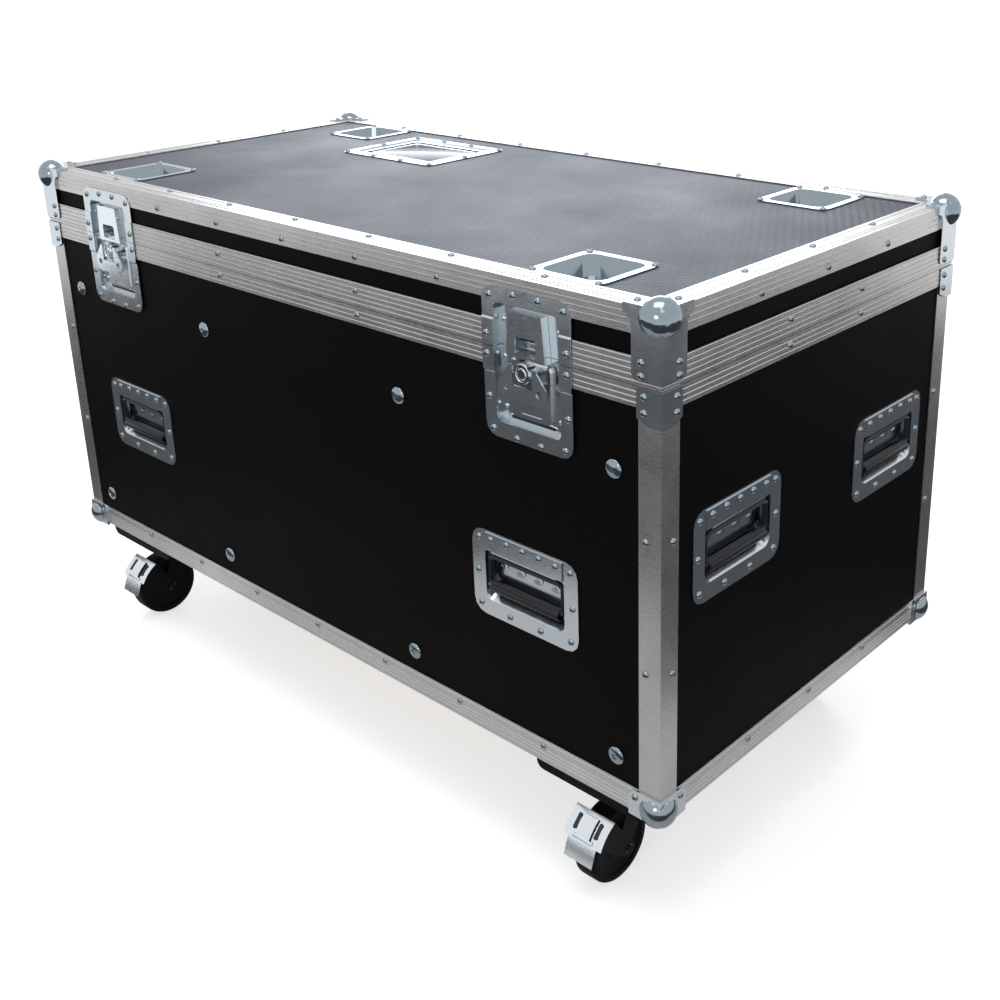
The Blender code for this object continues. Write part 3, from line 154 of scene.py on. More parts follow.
class Recipe:
    """A material's node tree, built a step at a time."""

    def __init__(self, name):
        self.material = bpy.data.materials.new(name)
        self.material.use_nodes = True
        self.tree = self.material.node_tree
        self.shader = self.tree.nodes["Principled BSDF"]
        self.place = self.node("ShaderNodeTexCoord").outputs["Object"]

    def node(self, kind, inputs=None, **settings):
        made = self.tree.nodes.new(kind)
        for key, value in settings.items():
            setattr(made, key, value)
        for key, value in (inputs or {}).items():
            self.feed(made.inputs[key], value)
        return made

    def feed(self, socket, value):
        if isinstance(value, bpy.types.NodeSocket):
            self.tree.links.new(value, socket)
        else:
            socket.default_value = value

    def set(self, **values):
        for key, value in values.items():
            socket = key.replace("_", " ").title().replace("Ior", "IOR")
            self.feed(self.shader.inputs[socket], value)

    def stretched(self, scale, turn=(0, 0, 0)):
        inputs = {"Vector": self.place, "Scale": scale, "Rotation": turn}
        return self.node("ShaderNodeMapping", inputs).outputs["Vector"]

    def noise(self, scale, detail, roughness=0.55, place=None):
        inputs = {"Vector": place or self.place, "Scale": scale, "Detail": detail, "Roughness": roughness}
        return self.node("ShaderNodeTexNoise", inputs).outputs["Fac"]

    def math(self, operation, first, second):
        made = self.node("ShaderNodeMath", operation=operation)
        self.feed(made.inputs[0], first)
        self.feed(made.inputs[1], second)
        return made.outputs[0]

    def between(self, value, low, high):
        """The value, 0 to 1, as a number from low to high."""
        inputs = {"Value": value, "From Min": 0.3, "From Max": 0.7, "To Min": low, "To Max": high}
        return self.node("ShaderNodeMapRange", inputs).outputs["Result"]

    def tint(self, fac, first, second):
        made = self.node("ShaderNodeMix", data_type="RGBA")
        self.feed(made.inputs["Factor"], fac)
        self.feed(made.inputs["A"], (*first, 1))
        self.feed(made.inputs["B"], (*second, 1))
        return made.outputs["Result"]

    def bump(self, height, distance, strength, under=None):
        inputs = {"Height": height, "Distance": distance, "Strength": strength}
        if under:
            inputs["Normal"] = under
        return self.node("ShaderNodeBump", inputs).outputs["Normal"]


def shade(colour, factor):
    return tuple(min(1.0, c * factor) for c in colour)


def scratches(recipe, base):
    """Roughness with faint scuffs: long thin streaks over a soft cloudiness."""
    streak = recipe.noise(9.0, 4.0, place=recipe.stretched((14, 14, 160), (0.3, 0.4, 0.2)))
    cloud = recipe.noise(22.0, 3.0)
    scuffed = recipe.between(streak, base - 0.05, base + 0.05)
    return recipe.math("ADD", scuffed, recipe.between(cloud, -0.03, 0.03))


def laminate_finish():
    """Dark laminate with a fine raised grain and paler patches of dust."""
    r = Recipe("laminate_dark_grain")
    base = colours().laminate
    grain = r.node("ShaderNodeTexVoronoi", {"Vector": r.place, "Scale": 420.0}, feature="SMOOTH_F1")
    dust = r.noise(7.0, 5.0)
    r.set(base_color=r.tint(r.between(dust, 0.0, 0.4), base, shade(base, 1.8)), roughness=r.between(dust, 0.48, 0.60))
    r.set(normal=r.bump(grain.outputs["Distance"], 0.0003, 0.4), specular_ior_level=0.04)
    return r.material


def lid_laminate_finish():
    """Grey laminate of the lid, pressed with a fine diamond grain, its hollows darkened as painted shade."""
    r = Recipe("laminate_grey_diamond")
    base = colours().lid_laminate
    waves = []
    for angle in (32, -32):
        slanted = r.stretched((1, 1, 1), (0, 0, radians(angle)))
        inputs = {"Vector": slanted, "Scale": 32.0, "Distortion": 0.0}
        waves.append(r.node("ShaderNodeTexWave", inputs, wave_profile="SIN").outputs["Fac"])
    diamonds = r.math("MULTIPLY", *waves)
    fine = r.noise(900.0, 2.0)
    wear = r.noise(5.0, 5.0)
    colour = r.tint(r.between(fine, 0.0, 1.0), shade(base, 0.78), shade(base, 1.22))
    # The diamond grain's hollows are darkened by up to a fifth: painted shade.
    tone_and_diamond_shade = r.node("ShaderNodeMix", data_type="RGBA", blend_type="MULTIPLY")
    r.feed(tone_and_diamond_shade.inputs["Factor"], 0.5)
    r.feed(tone_and_diamond_shade.inputs["A"], colour)
    r.feed(tone_and_diamond_shade.inputs["B"], r.tint(r.between(diamonds, 0.0, 1.0), (0.80, 0.80, 0.82), (1, 1, 1)))
    r.set(base_color=tone_and_diamond_shade.outputs["Result"], roughness=r.between(wear, 0.40, 0.52), specular_ior_level=0.09)
    r.set(normal=r.bump(fine, 0.0002, 0.4, r.bump(diamonds, 0.0006, 0.45)))
    return r.material


def aluminium_finish():
    """Satin extrusion: drawn lines along it, dull patches and small dents."""
    r = Recipe("aluminium_satin")
    base = colours().aluminium
    dull = r.noise(6.0, 4.0)
    lines = r.noise(60.0, 2.0, place=r.stretched((1, 1, 9)))
    r.set(metallic=1.0, base_color=r.tint(r.between(dull, 0.0, 1.0), shade(base, 0.90), shade(base, 1.08)))
    r.set(roughness=scratches(r, 0.29), normal=r.bump(lines, 0.0002, 0.3))
    return r.material


def zinc_finish(name, colour, roughness, blush):
    """Plated steel: bluish passivation that drifts in hue, with fine rolling lines."""
    r = Recipe(name)
    drift = r.noise(11.0, 3.0)
    warm = (colour[0] * (1 + blush), colour[1] * (1 + blush * 0.35), colour[2] * (1 - blush * 0.4))
    r.set(metallic=1.0, base_color=r.tint(r.between(drift, 0.0, 1.0), colour, warm))
    r.set(roughness=scratches(r, roughness), normal=r.bump(r.noise(190.0, 3.0), 0.00012, 0.5))
    return r.material


def plywood_finish():
    """Birch plywood with a long grain, slightly scuffed."""
    r = Recipe("plywood_plain")
    base = colours().plywood
    grain = r.noise(5.0, 6.0, 0.6, r.stretched((3, 26, 26)))
    flecks = r.noise(40.0, 4.0, 0.6, r.stretched((2, 22, 22)))
    r.set(base_color=r.tint(r.between(grain, 0.0, 1.0), shade(base, 0.72), shade(base, 1.12)))
    r.set(roughness=r.between(flecks, 0.55, 0.72))
    r.set(normal=r.bump(flecks, 0.0003, 0.4))
    return r.material


def painted_finish(name, colour, roughness, grain_scale, depth, gloss=0.08):
    """Black paint or moulding: faint mottle, rubbed paler in places, with a fine texture."""
    r = Recipe(name)
    rubbed = r.noise(18.0, 5.0, 0.65)
    r.set(base_color=r.tint(r.between(rubbed, 0.0, 0.8), colour, shade(colour, 1.9)))
    r.set(roughness=r.between(rubbed, roughness - 0.08, roughness + 0.10))
    r.set(normal=r.bump(r.noise(grain_scale, 3.0), depth, 0.5), specular_ior_level=gloss)
    return r.material


def window_finish():
    """Clear film over a pale card."""
    r = Recipe("label_window_film")
    card = r.noise(14.0, 3.0)
    r.set(base_color=r.tint(r.between(card, 0.0, 1.0), (0.045, 0.060, 0.095), (0.062, 0.078, 0.118)))
    r.set(roughness=r.between(card, 0.10, 0.16), specular_ior_level=0.05)
    r.set(normal=r.bump(r.noise(26.0, 2.0), 0.0005, 0.35))
    return r.material


FINISHES = {}


def finish_of(name):
    """A finish by name, made when it is first asked for."""
    if name not in FINISHES:
        c = colours()
        FINISHES[name] = {
            "laminate": laminate_finish,
            "lid_laminate": lid_laminate_finish,
            "aluminium": aluminium_finish,
            "zinc": lambda: zinc_finish("zinc_blue_passivated", c.zinc, 0.19, 0.12),
            "deep_zinc": lambda: zinc_finish("zinc_deep_blue", c.deep, 0.15, 0.08),
            "bright_zinc": lambda: zinc_finish("zinc_bright", c.bright, 0.15, 0.04),
            # Dark metal as painted shadow: in the rivets' sunk middles, the slots of the latch foot and pedals, and
            # behind the tongue's window.
            "shadow_metal": lambda: zinc_finish("painted_shadow_dark_metal", (0.05, 0.055, 0.06), 0.45, 0.02),
            "plywood": plywood_finish,
            "grip": lambda: painted_finish("grip_moulded", c.grip, 0.38, 900.0, 0.0002, 0.35),
            "black_board": lambda: painted_finish("board_black_paint", c.board, 0.55, 260.0, 0.0005),
            "black_metal": lambda: painted_finish("metal_black_enamel", shade(c.board, 1.3), 0.34, 500.0, 0.0002),
            "wheel": lambda: painted_finish("wheel_tread_rubber", c.tyre, 0.55, 700.0, 0.0003),
            "wheel_core": lambda: painted_finish("wheel_core_nylon", shade(c.tyre, 1.2), 0.40, 400.0, 0.0002),
            "window": window_finish,
        }[name]()
    return FINISHES[name]


# ---------------------------------------------------------------- placing and shaping


def on_wall(wall, along, up):
    """The matrix that lays a flat drawing on a wall: its X along the wall, its Y up and its Z out."""
    *axes, face = WALLS[wall]
    u, v, n = map(Vector, axes)
    foot = Vector((MIDDLE.x, MIDDLE.y, CASE_FOOT))
    spot = foot + u * along + v * up + n * face
    turn = Matrix((u, v, n)).transposed().to_4x4()
    return Matrix.Translation(spot) @ turn


@cache
def tree_of(*nodes):
    """A tree of some solids, for finding the surface that a fitting sits on."""
    made = bmesh.new()
    for node in nodes:
        made.from_mesh(frame["nodes"][node].data)
    tree = BVHTree.FromBMesh(made)
    made.free()
    return tree


SKIN = tree_of(*frame["nodes"])


def seat(wall, along, up, sink=0.0002):
    """As on_wall, but sitting on whatever solid is there."""
    base = on_wall(wall, along, up)
    out = base.to_3x3() @ Vector((0, 0, 1))
    hit = SKIN.ray_cast(base.translation + out * 0.05, -out, 0.09)[0]
    if hit is None:
        raise RuntimeError(f"nothing on wall {wall} at {along:.3f}, {up:.3f}")
    return Matrix.Translation(hit - out * sink - base.translation) @ base


def piece(name, made, finish, body, smooth, extra=()):
    """Turn a bmesh into a finished piece that rides on a body."""
    bmesh.ops.remove_doubles(made, verts=made.verts, dist=1e-6)
    bmesh.ops.recalc_face_normals(made, faces=made.faces)
    mesh = bpy.data.meshes.new(name)
    made.to_mesh(mesh)
    made.free()
    for each in (finish, *extra):
        mesh.materials.append(finish_of(each))
    mesh.shade_smooth()
    mesh.set_sharp_from_angle(angle=radians(smooth))
    obj = bpy.data.objects.new(name, mesh)
    bpy.context.scene.collection.objects.link(obj)
    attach(obj, body)
    return obj


def stamp(target, pattern, matrix):
    """Add a copy of one bmesh to another, moved by a matrix."""
    mesh = bpy.data.meshes.new("stamp")
    pattern.to_mesh(mesh)
    if matrix.determinant() < 0:
        mesh.flip_normals()
    mesh.transform(matrix)
    target.from_mesh(mesh)
    bpy.data.meshes.remove(mesh)


def stamped(pattern, matrices):
    """A new bmesh with one copy of the pattern at each matrix. The pattern is used up."""
    made = bmesh.new()
    for matrix in matrices:
        stamp(made, pattern, matrix)
    pattern.free()
    return made


def turned(profile, steps, closed=False):
    """(Radius, height) points turned about Z: a solid that starts and ends on the axis, or a closed ring."""
    made = bmesh.new()
    verts = [made.verts.new((radius, 0, height)) for radius, height in profile]
    after = verts[1:] + verts[:1] if closed else verts[1:]
    edges = [made.edges.new(pair) for pair in zip(verts, after)]
    around = {"cent": (0, 0, 0), "axis": (0, 0, 1), "angle": 2 * pi, "steps": steps, "use_merge": True}
    bmesh.ops.spin(made, geom=verts + edges, **around)
    bmesh.ops.remove_doubles(made, verts=made.verts, dist=1e-6)
    bmesh.ops.recalc_face_normals(made, faces=made.faces)
    return made


def rod(radius, length, steps, edge):
    """A round bar along Z from 0, with bevelled rims."""
    side = [(radius - edge, 0), (radius, edge), (radius, length - edge), (radius - edge, length)]
    return turned([(0, 0), *side, (0, length)], steps)


# How every bevel here is cut.
ROUNDED = {"offset_type": "OFFSET", "profile": 0.5, "material": -1}


def outline(width, height, radius, steps=5):
    """One face: a rectangle with round corners, in the XY plane."""
    made = bmesh.new()
    bmesh.ops.create_grid(made, x_segments=1, y_segments=1, size=0.5)
    bmesh.ops.scale(made, vec=(width, height, 1), verts=made.verts)
    if radius:
        corners = {"geom": made.verts[:], "affect": "VERTICES", "clamp_overlap": False}
        bmesh.ops.bevel(made, offset=radius, segments=steps, **corners, **ROUNDED)
    return made


def drawn(made, travel):
    """Draw a face out into a solid."""
    grown = bmesh.ops.extrude_face_region(made, geom=made.faces[:])["geom"]
    bmesh.ops.translate(made, vec=travel, verts=[v for v in grown if isinstance(v, bmesh.types.BMVert)])
    bmesh.ops.recalc_face_normals(made, faces=made.faces)
    return made


def softened(made, rim, offset):
    """Round some edges in two steps."""
    bmesh.ops.bevel(made, geom=rim, offset=offset, segments=2, affect="EDGES", clamp_overlap=True, **ROUNDED)
    return made


def plate(width, height, radius, thick, edge=0.0):
    """A flat plate from z = 0 up, with a bevelled upper edge where edge is given."""
    made = drawn(outline(width, height, radius), (0, 0, thick))
    if edge:
        softened(made, [e for e in made.edges if all(v.co.z > thick * 0.9 for v in e.verts)], edge)
    return made


def pressing(sections, steps):
    """A pressed rim drawn from its outer edge inwards: each section is (width, height, corner radius, z)."""
    width, height, radius, level = sections[0]
    made = outline(width, height, radius, steps)
    bmesh.ops.translate(made, vec=(0, 0, level), verts=made.verts)
    bmesh.ops.delete(made, geom=made.faces[:], context="FACES_ONLY")
    ring = made.edges[:]
    for w, h, r, z in sections[1:]:
        grown = bmesh.ops.extrude_edge_only(made, edges=ring)["geom"]
        for vert in (v for v in grown if isinstance(v, bmesh.types.BMVert)):
            side = Vector((1 if vert.co.x > 0 else -1, 1 if vert.co.y > 0 else -1))
            bend = Vector((vert.co.x - side.x * (width / 2 - radius), vert.co.y - side.y * (height / 2 - radius)))
            vert.co = (side.x * (w / 2 - r) + bend.x * r / radius, side.y * (h / 2 - r) + bend.y * r / radius, z)
        ring = [e for e in grown if isinstance(e, bmesh.types.BMEdge)]
        width, height, radius = w, h, r
    bmesh.ops.recalc_face_normals(made, faces=made.faces)
    middle = max(made.faces, key=lambda face: face.calc_area())
    if middle.normal.z < 0:
        bmesh.ops.reverse_faces(made, faces=made.faces)
    return made


def swept(profile, start, end):
    """A bar with the given YZ profile, along X from start to end."""
    made = bmesh.new()
    made.faces.new([made.verts.new((start, y, z)) for y, z in profile])
    return drawn(made, (end - start, 0, 0))


def rivet():
    """A blind rivet's head: a low dome with the broken stem sunk in its middle, which takes the dark finish as
    painted shade.
    """
    s = sizes()
    r, h = s.rivet_radius, s.rivet_height
    dome = [(r, 0), (r * 0.93, h * 0.45), (r * 0.70, h * 0.85), (r * 0.36, h)]
    made = turned([(0, -h * 0.2), *dome, (r * 0.27, h * 0.45), (0, h * 0.50)], s.rivet_steps)
    # Faces round the sunk middle take the second finish: dark metal as painted shade in the hollow.
    for face in made.faces:
        centre = face.calc_center_median()
        face.material_index = 1 if centre.xy.length < r * 0.30 and centre.z > 0 else 0
    return made


def rivet_field(name, spots, body):
    """Rivets at (wall, along, up) places, each on the surface that it holds."""
    made = stamped(rivet(), [seat(*spot) for spot in spots])
    return piece(name, made, "deep_zinc", body, 50, ("shadow_metal",))


# ---------------------------------------------------------------- rivets and bolts

# Places along the long walls where each run of rivets sits.
LONG_RUN = tuple(step * 0.142 for step in range(-3, 4))
SHORT_RUN = (-0.132, 0.0, 0.132)


def mirrored(*spots):
    """Each spot on the left and then on the right of the middle."""
    return tuple((side * u, v) for u, v in spots for side in (-1, 1))


# Rivets of the fittings, each from its fitting's middle: across and up.
LATCH_RIVETS = mirrored((0.0535, 0.057), (0.018, 0.0615), (0.058, 0.0133))
LATCH_BODY_RIVETS = mirrored((0.058, -0.010), (0.0577, -0.0595), (0.0532, -0.0965), (0.0177, -0.101))
HANDLE_RIVETS = mirrored((0.0705, 0.0435), (0.0735, 0.0), (0.0705, -0.0425), (0.024, -0.0465))
COVER_RIVETS = ((-0.050, 0.0455), (-0.025, 0.0465), (0.0, 0.0465), (0.025, 0.0465), (0.050, 0.0455))
DISH_RIVET = 0.0465
LABEL_RIVETS = (0.0955, 0.0745)
LABEL_END_RIVETS = (0.032, 0.0755)

# Rivets of the ball corners, of the braces below them and of the uprights, inwards from the case's edges.
EAR_RIVET = (0.0330, 0.0215)
PETAL_RIVET = (0.0385, 0.0100)
SKIRT_IN, SKIRT_ROWS = 0.0240, (0.5325, 0.5185)
BRACE_IN, BRACE_ROWS = 0.0205, (0.4975, 0.4805)
UPRIGHT_ROWS = (0.182, 0.338)

# Heights of the rows of rivets above the case's foot, and the rows on its top.
BOTTOM_ROW, LID_ROW, BODY_BAND_ROW, LID_BAND_ROW = 0.0215, 0.568, 0.4965, 0.5265
TOP_LONG_ROW, TOP_SHORT_ROW = 0.2765, 0.578
FRONT_BAND, END_BAND = (-0.145, 0.140), (-0.075, 0.075)
BOLT_COLUMNS, BOLT_ROWS = (-0.536, -0.203, 0.203, 0.537), (0.060, 0.408)
HINGE_ROW = 0.0165
HINGE_STEPS = tuple(step * 0.085 - 0.5100 for step in range(13))


class FLIGHTCASE_OT_edge_rivets(bpy.types.Operator):
    """Rivets along the edge extrusions, the band and the corner angles"""

    bl_idname = "flightcase.edge_rivets"
    bl_label = "Edge rivets"

    def execute(self, context):
        case, lid = [], []
        for wall in ("front", "back", "right", "left"):
            run = LONG_RUN if wall in ("front", "back") else SHORT_RUN
            half = HALF_LENGTH if wall in ("front", "back") else HALF_DEPTH
            case += [(wall, u, BOTTOM_ROW) for u in run]
            lid += [(wall, u, LID_ROW) for u in run if (wall, abs(u)) != ("front", LONG_RUN[-1])]
            case += [(wall, side * (half - BRACE_IN), up) for side in (-1, 1) for up in UPRIGHT_ROWS]
            if wall != "back":
                band = FRONT_BAND if wall == "front" else END_BAND
                case += [(wall, u, BODY_BAND_ROW) for u in band]
                lid += [(wall, u, LID_BAND_ROW) for u in band]
        lid += [("top", u, side * TOP_LONG_ROW) for side in (-1, 1) for u in LONG_RUN]
        lid += [("top", side * TOP_SHORT_ROW, v) for side in (-1, 1) for v in SHORT_RUN]
        rivet_field("edge_rivets_body", case, "case")
        rivet_field("edge_rivets_lid", lid, "lid")
        return {"FINISHED"}


class FLIGHTCASE_OT_fitting_rivets(bpy.types.Operator):
    """Rivets that hold the dishes, the latches, the ball corners and the hinge"""

    bl_idname = "flightcase.fitting_rivets"
    bl_label = "Fitting rivets"

    def execute(self, context):
        case, lid = [], []
        for wall, along, up in HANDLES.values():
            case += [(wall, along + u, up + v) for u, v in (*HANDLE_RIVETS, *COVER_RIVETS)]
        for side in SIDES.values():
            lid += [("front", side * LATCH_AT + u, SPLIT + v) for u, v in LATCH_RIVETS]
            case += [("front", side * LATCH_AT + u, SPLIT + v) for u, v in LATCH_BODY_RIVETS]
        for sx, sy in CORNERS.values():
            x, y = sx * CASTOR_DISH_AT[0], sy * CASTOR_DISH_AT[1]
            lid += [("top", x + u, y + v) for u in (-DISH_RIVET, DISH_RIVET) for v in (-DISH_RIVET, DISH_RIVET)]
        x, y = LABEL_AT
        across, up = LABEL_RIVETS
        lid += [("top", x + u, y + v) for u in (-across, across) for v in (-up, 0.0, up)]
        across, up = LABEL_END_RIVETS
        lid += [("top", x + u, y + v) for u in (-across, across) for v in (-up, up)]
        for wall in ("front", "right", "back", "left"):
            half = HALF_LENGTH if wall in ("front", "back") else HALF_DEPTH
            for side in (-1, 1):
                lid += [(wall, side * (half - SKIRT_IN), up) for up in SKIRT_ROWS]
                case += [(wall, side * (half - BRACE_IN), up) for up in BRACE_ROWS]
                case.append((wall, side * (half - EAR_RIVET[0]), EAR_RIVET[1]))
        for sx, sy in CORNERS.values():
            for a, b in (PETAL_RIVET, PETAL_RIVET[::-1]):
                lid.append(("top", sx * (HALF_LENGTH - a), sy * (HALF_DEPTH - b)))
        case += [("back", u, SPLIT - HINGE_ROW) for u in HINGE_STEPS]
        lid += [("back", u, SPLIT + HINGE_ROW) for u in HINGE_STEPS]
        rivet_field("fitting_rivets_body", case, "case")
        rivet_field("fitting_rivets_lid", lid, "lid")
        return {"FINISHED"}


class FLIGHTCASE_OT_dome_bolts(bpy.types.Operator):
    """Dome bolts of the divider tracks, each over a flat washer"""

    bl_idname = "flightcase.dome_bolts"
    bl_label = "Dome bolts"

    def execute(self, context):
        s = sizes()
        r, h = s.bolt_radius, s.bolt_height
        washer = [(0, -0.001), (r, -0.001), (r, h * 0.16)]
        dome = [(r * sin(radians(a)), h * 0.22 + h * 0.78 * cos(radians(a))) for a in range(90, 15, -15)]
        socket = [(r * 0.30, h * 0.985), (r * 0.25, h * 0.62), (0, h * 0.62)]
        spots = [(wall, u, up) for wall in ("front", "back") for u in BOLT_COLUMNS for up in BOLT_ROWS]
        made = stamped(turned([*washer, *dome, *socket], 28), [seat(*spot, sink=0.0001) for spot in spots])
        piece("dome_bolts", made, "deep_zinc", "case", 35)
        return {"FINISHED"}


# ---------------------------------------------------------------- extrusions and ball corners


# Half a rib's width, how deep it sits, and how far the wall ribs stop short of the corner.
RIB_HALF, RIB_SUNK, RIB_END = 0.0008, 0.0003, 0.030
# Rows of ribs: up an extrusion's wall leg, and inwards on the lid's flat leg.
LID_RIBS_UP, LID_RIBS_IN = (0.0078, 0.0142, 0.0205), (0.0075, 0.0130, 0.0262)
BOTTOM_RIBS_UP = (0.0068, 0.0118, 0.0168, 0.0272)


def rib_runs(name, body, level, flip, rows_up, rows_in):
    """Raised ribs along the four sides of an edge extrusion, on its wall leg and on its flat leg."""
    h = sizes().rib_height
    foot, top = RIB_HALF * 1.7, RIB_HALF * 0.8
    section = [(RIB_SUNK, -foot), (-h, -top), (-h, top), (RIB_SUNK, foot)]
    made = bmesh.new()
    centre = Matrix.Translation((MIDDLE.x, MIDDLE.y, level))
    for turn in (0, 90, 180, 270):
        along, across = (HALF_DEPTH, HALF_LENGTH) if turn in (90, 270) else (HALF_LENGTH, HALF_DEPTH)
        place = centre @ Matrix.Rotation(radians(turn), 4, "Z") @ Matrix.Translation((0, -across, 0))
        for row in rows_up:
            rib = swept(section, -along + RIB_END, along - RIB_END)
            stamp(made, rib, place @ Matrix.Translation((0, 0, flip * row)))
            rib.free()
        for row in rows_in:
            rib = swept(section, -along + row, along - row)
            inward = place @ Matrix.Translation((0, row, 0))
            stamp(made, rib, inward @ Matrix.Rotation(radians(90 * flip), 4, "X"))
            rib.free()
    return piece(name, made, "aluminium", body, 30)


def inset_of(point):
    """How far a point lies inside the end, the long wall, the top and the foot of the case."""
    return (
        HALF_LENGTH - abs(point.x - MIDDLE.x),
        HALF_DEPTH - abs(point.y - MIDDLE.y),
        CASE_FOOT + CASE_HEIGHT - point.z,
        point.z - CASE_FOOT,
    )


def refinished(name, node, body, finishes, which):
    """Stand in for a solid that has several finishes: which gives the number of a face's own."""
    mesh = frame["nodes"][node].data.copy()
    if "custom_normal" in mesh.attributes:
        mesh.attributes.remove(mesh.attributes["custom_normal"])
    made = bmesh.new()
    made.from_mesh(mesh)
    bpy.data.meshes.remove(mesh)
    bmesh.ops.remove_doubles(made, verts=made.verts, dist=1e-5)
    for face in made.faces:
        face.material_index = int(which(face))
    obj = piece(name, made, finishes[0], body, 38, finishes[1:])
    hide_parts(node)


# Faces further out than this are the plated corners, and further out than the second the balls.
PLATE_PROUD, BALL_PROUD = 0.00012, 0.0036
# Where the plates of the ball corners end, measured from the top of the lid and from the foot.
LID_LEG, BOTTOM_LEG = 0.0292, 0.0325


def plated(name, node, body, belongs):
    """An aluminium run and the plated corners that are one solid with it, with their balls in the darker deep zinc as
    painted shade.
    """

    def which(face):
        insets = inset_of(face.calc_center_median())
        # Ball faces take the darker zinc: painted shade for the dark surroundings they mirror.
        return 2 if min(insets) < -BALL_PROUD else belongs(*insets)

    refinished(name, node, body, ("aluminium", "zinc", "deep_zinc"), which)


def lid_plates(end, wall, top, foot):
    return min(end, wall, top) < -PLATE_PROUD or top > LID_LEG


def bottom_plates(end, wall, top, foot):
    return min(end, wall, foot) < -PLATE_PROUD or foot > BOTTOM_LEG


def braces(end, wall, top, foot):
    return min(end, wall) < -PLATE_PROUD


class FLIGHTCASE_OT_edges(bpy.types.Operator):
    """Edge extrusions with their ribs, ball corners and corner braces"""

    bl_idname = "flightcase.edges"
    bl_label = "Edges and ball corners"

    def execute(self, context):
        plated("lid_edges_and_balls", "lid_edge_frame", "lid", lid_plates)
        plated("bottom_edges_and_balls", "bottom_edge_frame", "case", bottom_plates)
        for name in CORNERS:
            plated(f"corner_angle_and_brace_{name}", f"corner_angle_{name}", "case", braces)
        rib_runs("lid_edge_ribs", "lid", CASE_FOOT + CASE_HEIGHT, -1, LID_RIBS_UP, LID_RIBS_IN)
        rib_runs("bottom_edge_ribs", "case", CASE_FOOT, 1, BOTTOM_RIBS_UP, ())
        return {"FINISHED"}


# ---------------------------------------------------------------- handles, latches, label


GRIP_LENGTH = 0.106
DIMPLES, DIMPLE_UP = (-0.040, -0.0125, 0.0150, 0.042), 0.0125
DIMPLE_TAIL = (-0.0035, -0.0062)
# How deep a pressed or set piece sits in the sheet under it.
SUNK = Matrix.Translation((0, 0, -0.0003))


class FLIGHTCASE_OT_handles(bpy.types.Operator):
    """Moulded grips on the wire bails, and the pressed dimples behind them"""

    bl_idname = "flightcase.handles"
    bl_label = "Handles"

    def execute(self, context):
        r = sizes().grip_radius
        for name, place in HANDLES.items():
            base = on_wall(*place)
            low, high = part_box(f"handle_bail_{name}")
            size = base.to_3x3().transposed() @ (high - low)
            local = base.inverted() @ ((low + high) / 2)
            grip = drawn(outline(r * 2, r * 1.36, r * 0.55, 4), (0, 0, GRIP_LENGTH))
            softened(grip, [e for e in grip.edges if e.verts[0].co.z == e.verts[1].co.z], 0.0014)
            row = local.y - abs(size.y) / 2 + r
            end = base @ Matrix.Translation((-GRIP_LENGTH / 2, row, local.z))
            made = stamped(grip, [end @ Matrix.Rotation(radians(90), 4, "Y")])
            piece(f"handle_grip_{name}", made, "grip", f"bail_{name}", 30)
            dents = bmesh.new()
            dent, tail = plate(0.0085, 0.0150, 0.0040, 0.0012, 0.0008), plate(0.0125, 0.0055, 0.0026, 0.0011, 0.0007)
            for u in DIMPLES:
                hit = seat_inside(base, u, DIMPLE_UP, [f"handle_dish_{name}"]) @ SUNK
                stamp(dents, dent, hit)
                stamp(dents, tail, hit @ Matrix.Translation((*DIMPLE_TAIL, 0)))
            dent.free()
            tail.free()
            piece(f"handle_dimples_{name}", dents, "zinc", "case", 40)
        return {"FINISHED"}


def seat_inside(base, u, v, nodes):
    """A place on the floor of a dish, found by looking in along the wall's normal."""
    spot = base @ Vector((u, v, 0.03))
    out = (base.to_3x3() @ Vector((0, 0, 1))).normalized()
    hit = tree_of(*nodes).ray_cast(spot, -out, 0.09)[0]
    if hit is None:
        raise RuntimeError(f"no floor under {nodes} at {u:.3f}, {v:.3f}")
    return Matrix.Translation(hit - base.translation) @ base


# Studs of a latch: across and up from the split.
LATCH_STUDS = ((0.040, -0.012), (0.040, -0.070), (-0.040, -0.012), (-0.040, -0.070))
KEEPER_STUDS = ((-0.040, 0.030), (0.040, 0.030))
# On the dish's floor, up from the split: the foot's lip with its painted highlight and painted shadow, and (across,
# up) the strip of painted highlight on the housing's edge.
LATCH_FOOT_UP = -0.0800
HOUSING_LIP = (-0.0040, -0.0560)
WINDOW_UP = 0.0080
# Steps behind the tongue's window, from its middle up, with their heights: bright ledges as painted highlight, and a
# dark strip as painted shadow.
WINDOW_STEPS = (
    ("ledge_highlights", "bright_zinc", ((0.0020, 0.0024), (-0.0045, 0.0012))),
    ("shadow", "shadow_metal", ((0.0062, 0.0050),)),
)
STUD = ((0, -0.0003), (0.0030, -0.0003), (0.0028, 0.0008), (0.0016, 0.0015), (0, 0.0016))
# A face whose normal has this much of an axis in it lies square to that axis.
FLAT = 0.9
# Rings on a spindle's head: radius and half their width.
SPINDLE_RINGS, RING_SUNK = ((0.0100, 0.0007), (0.0062, 0.0006)), 0.0012


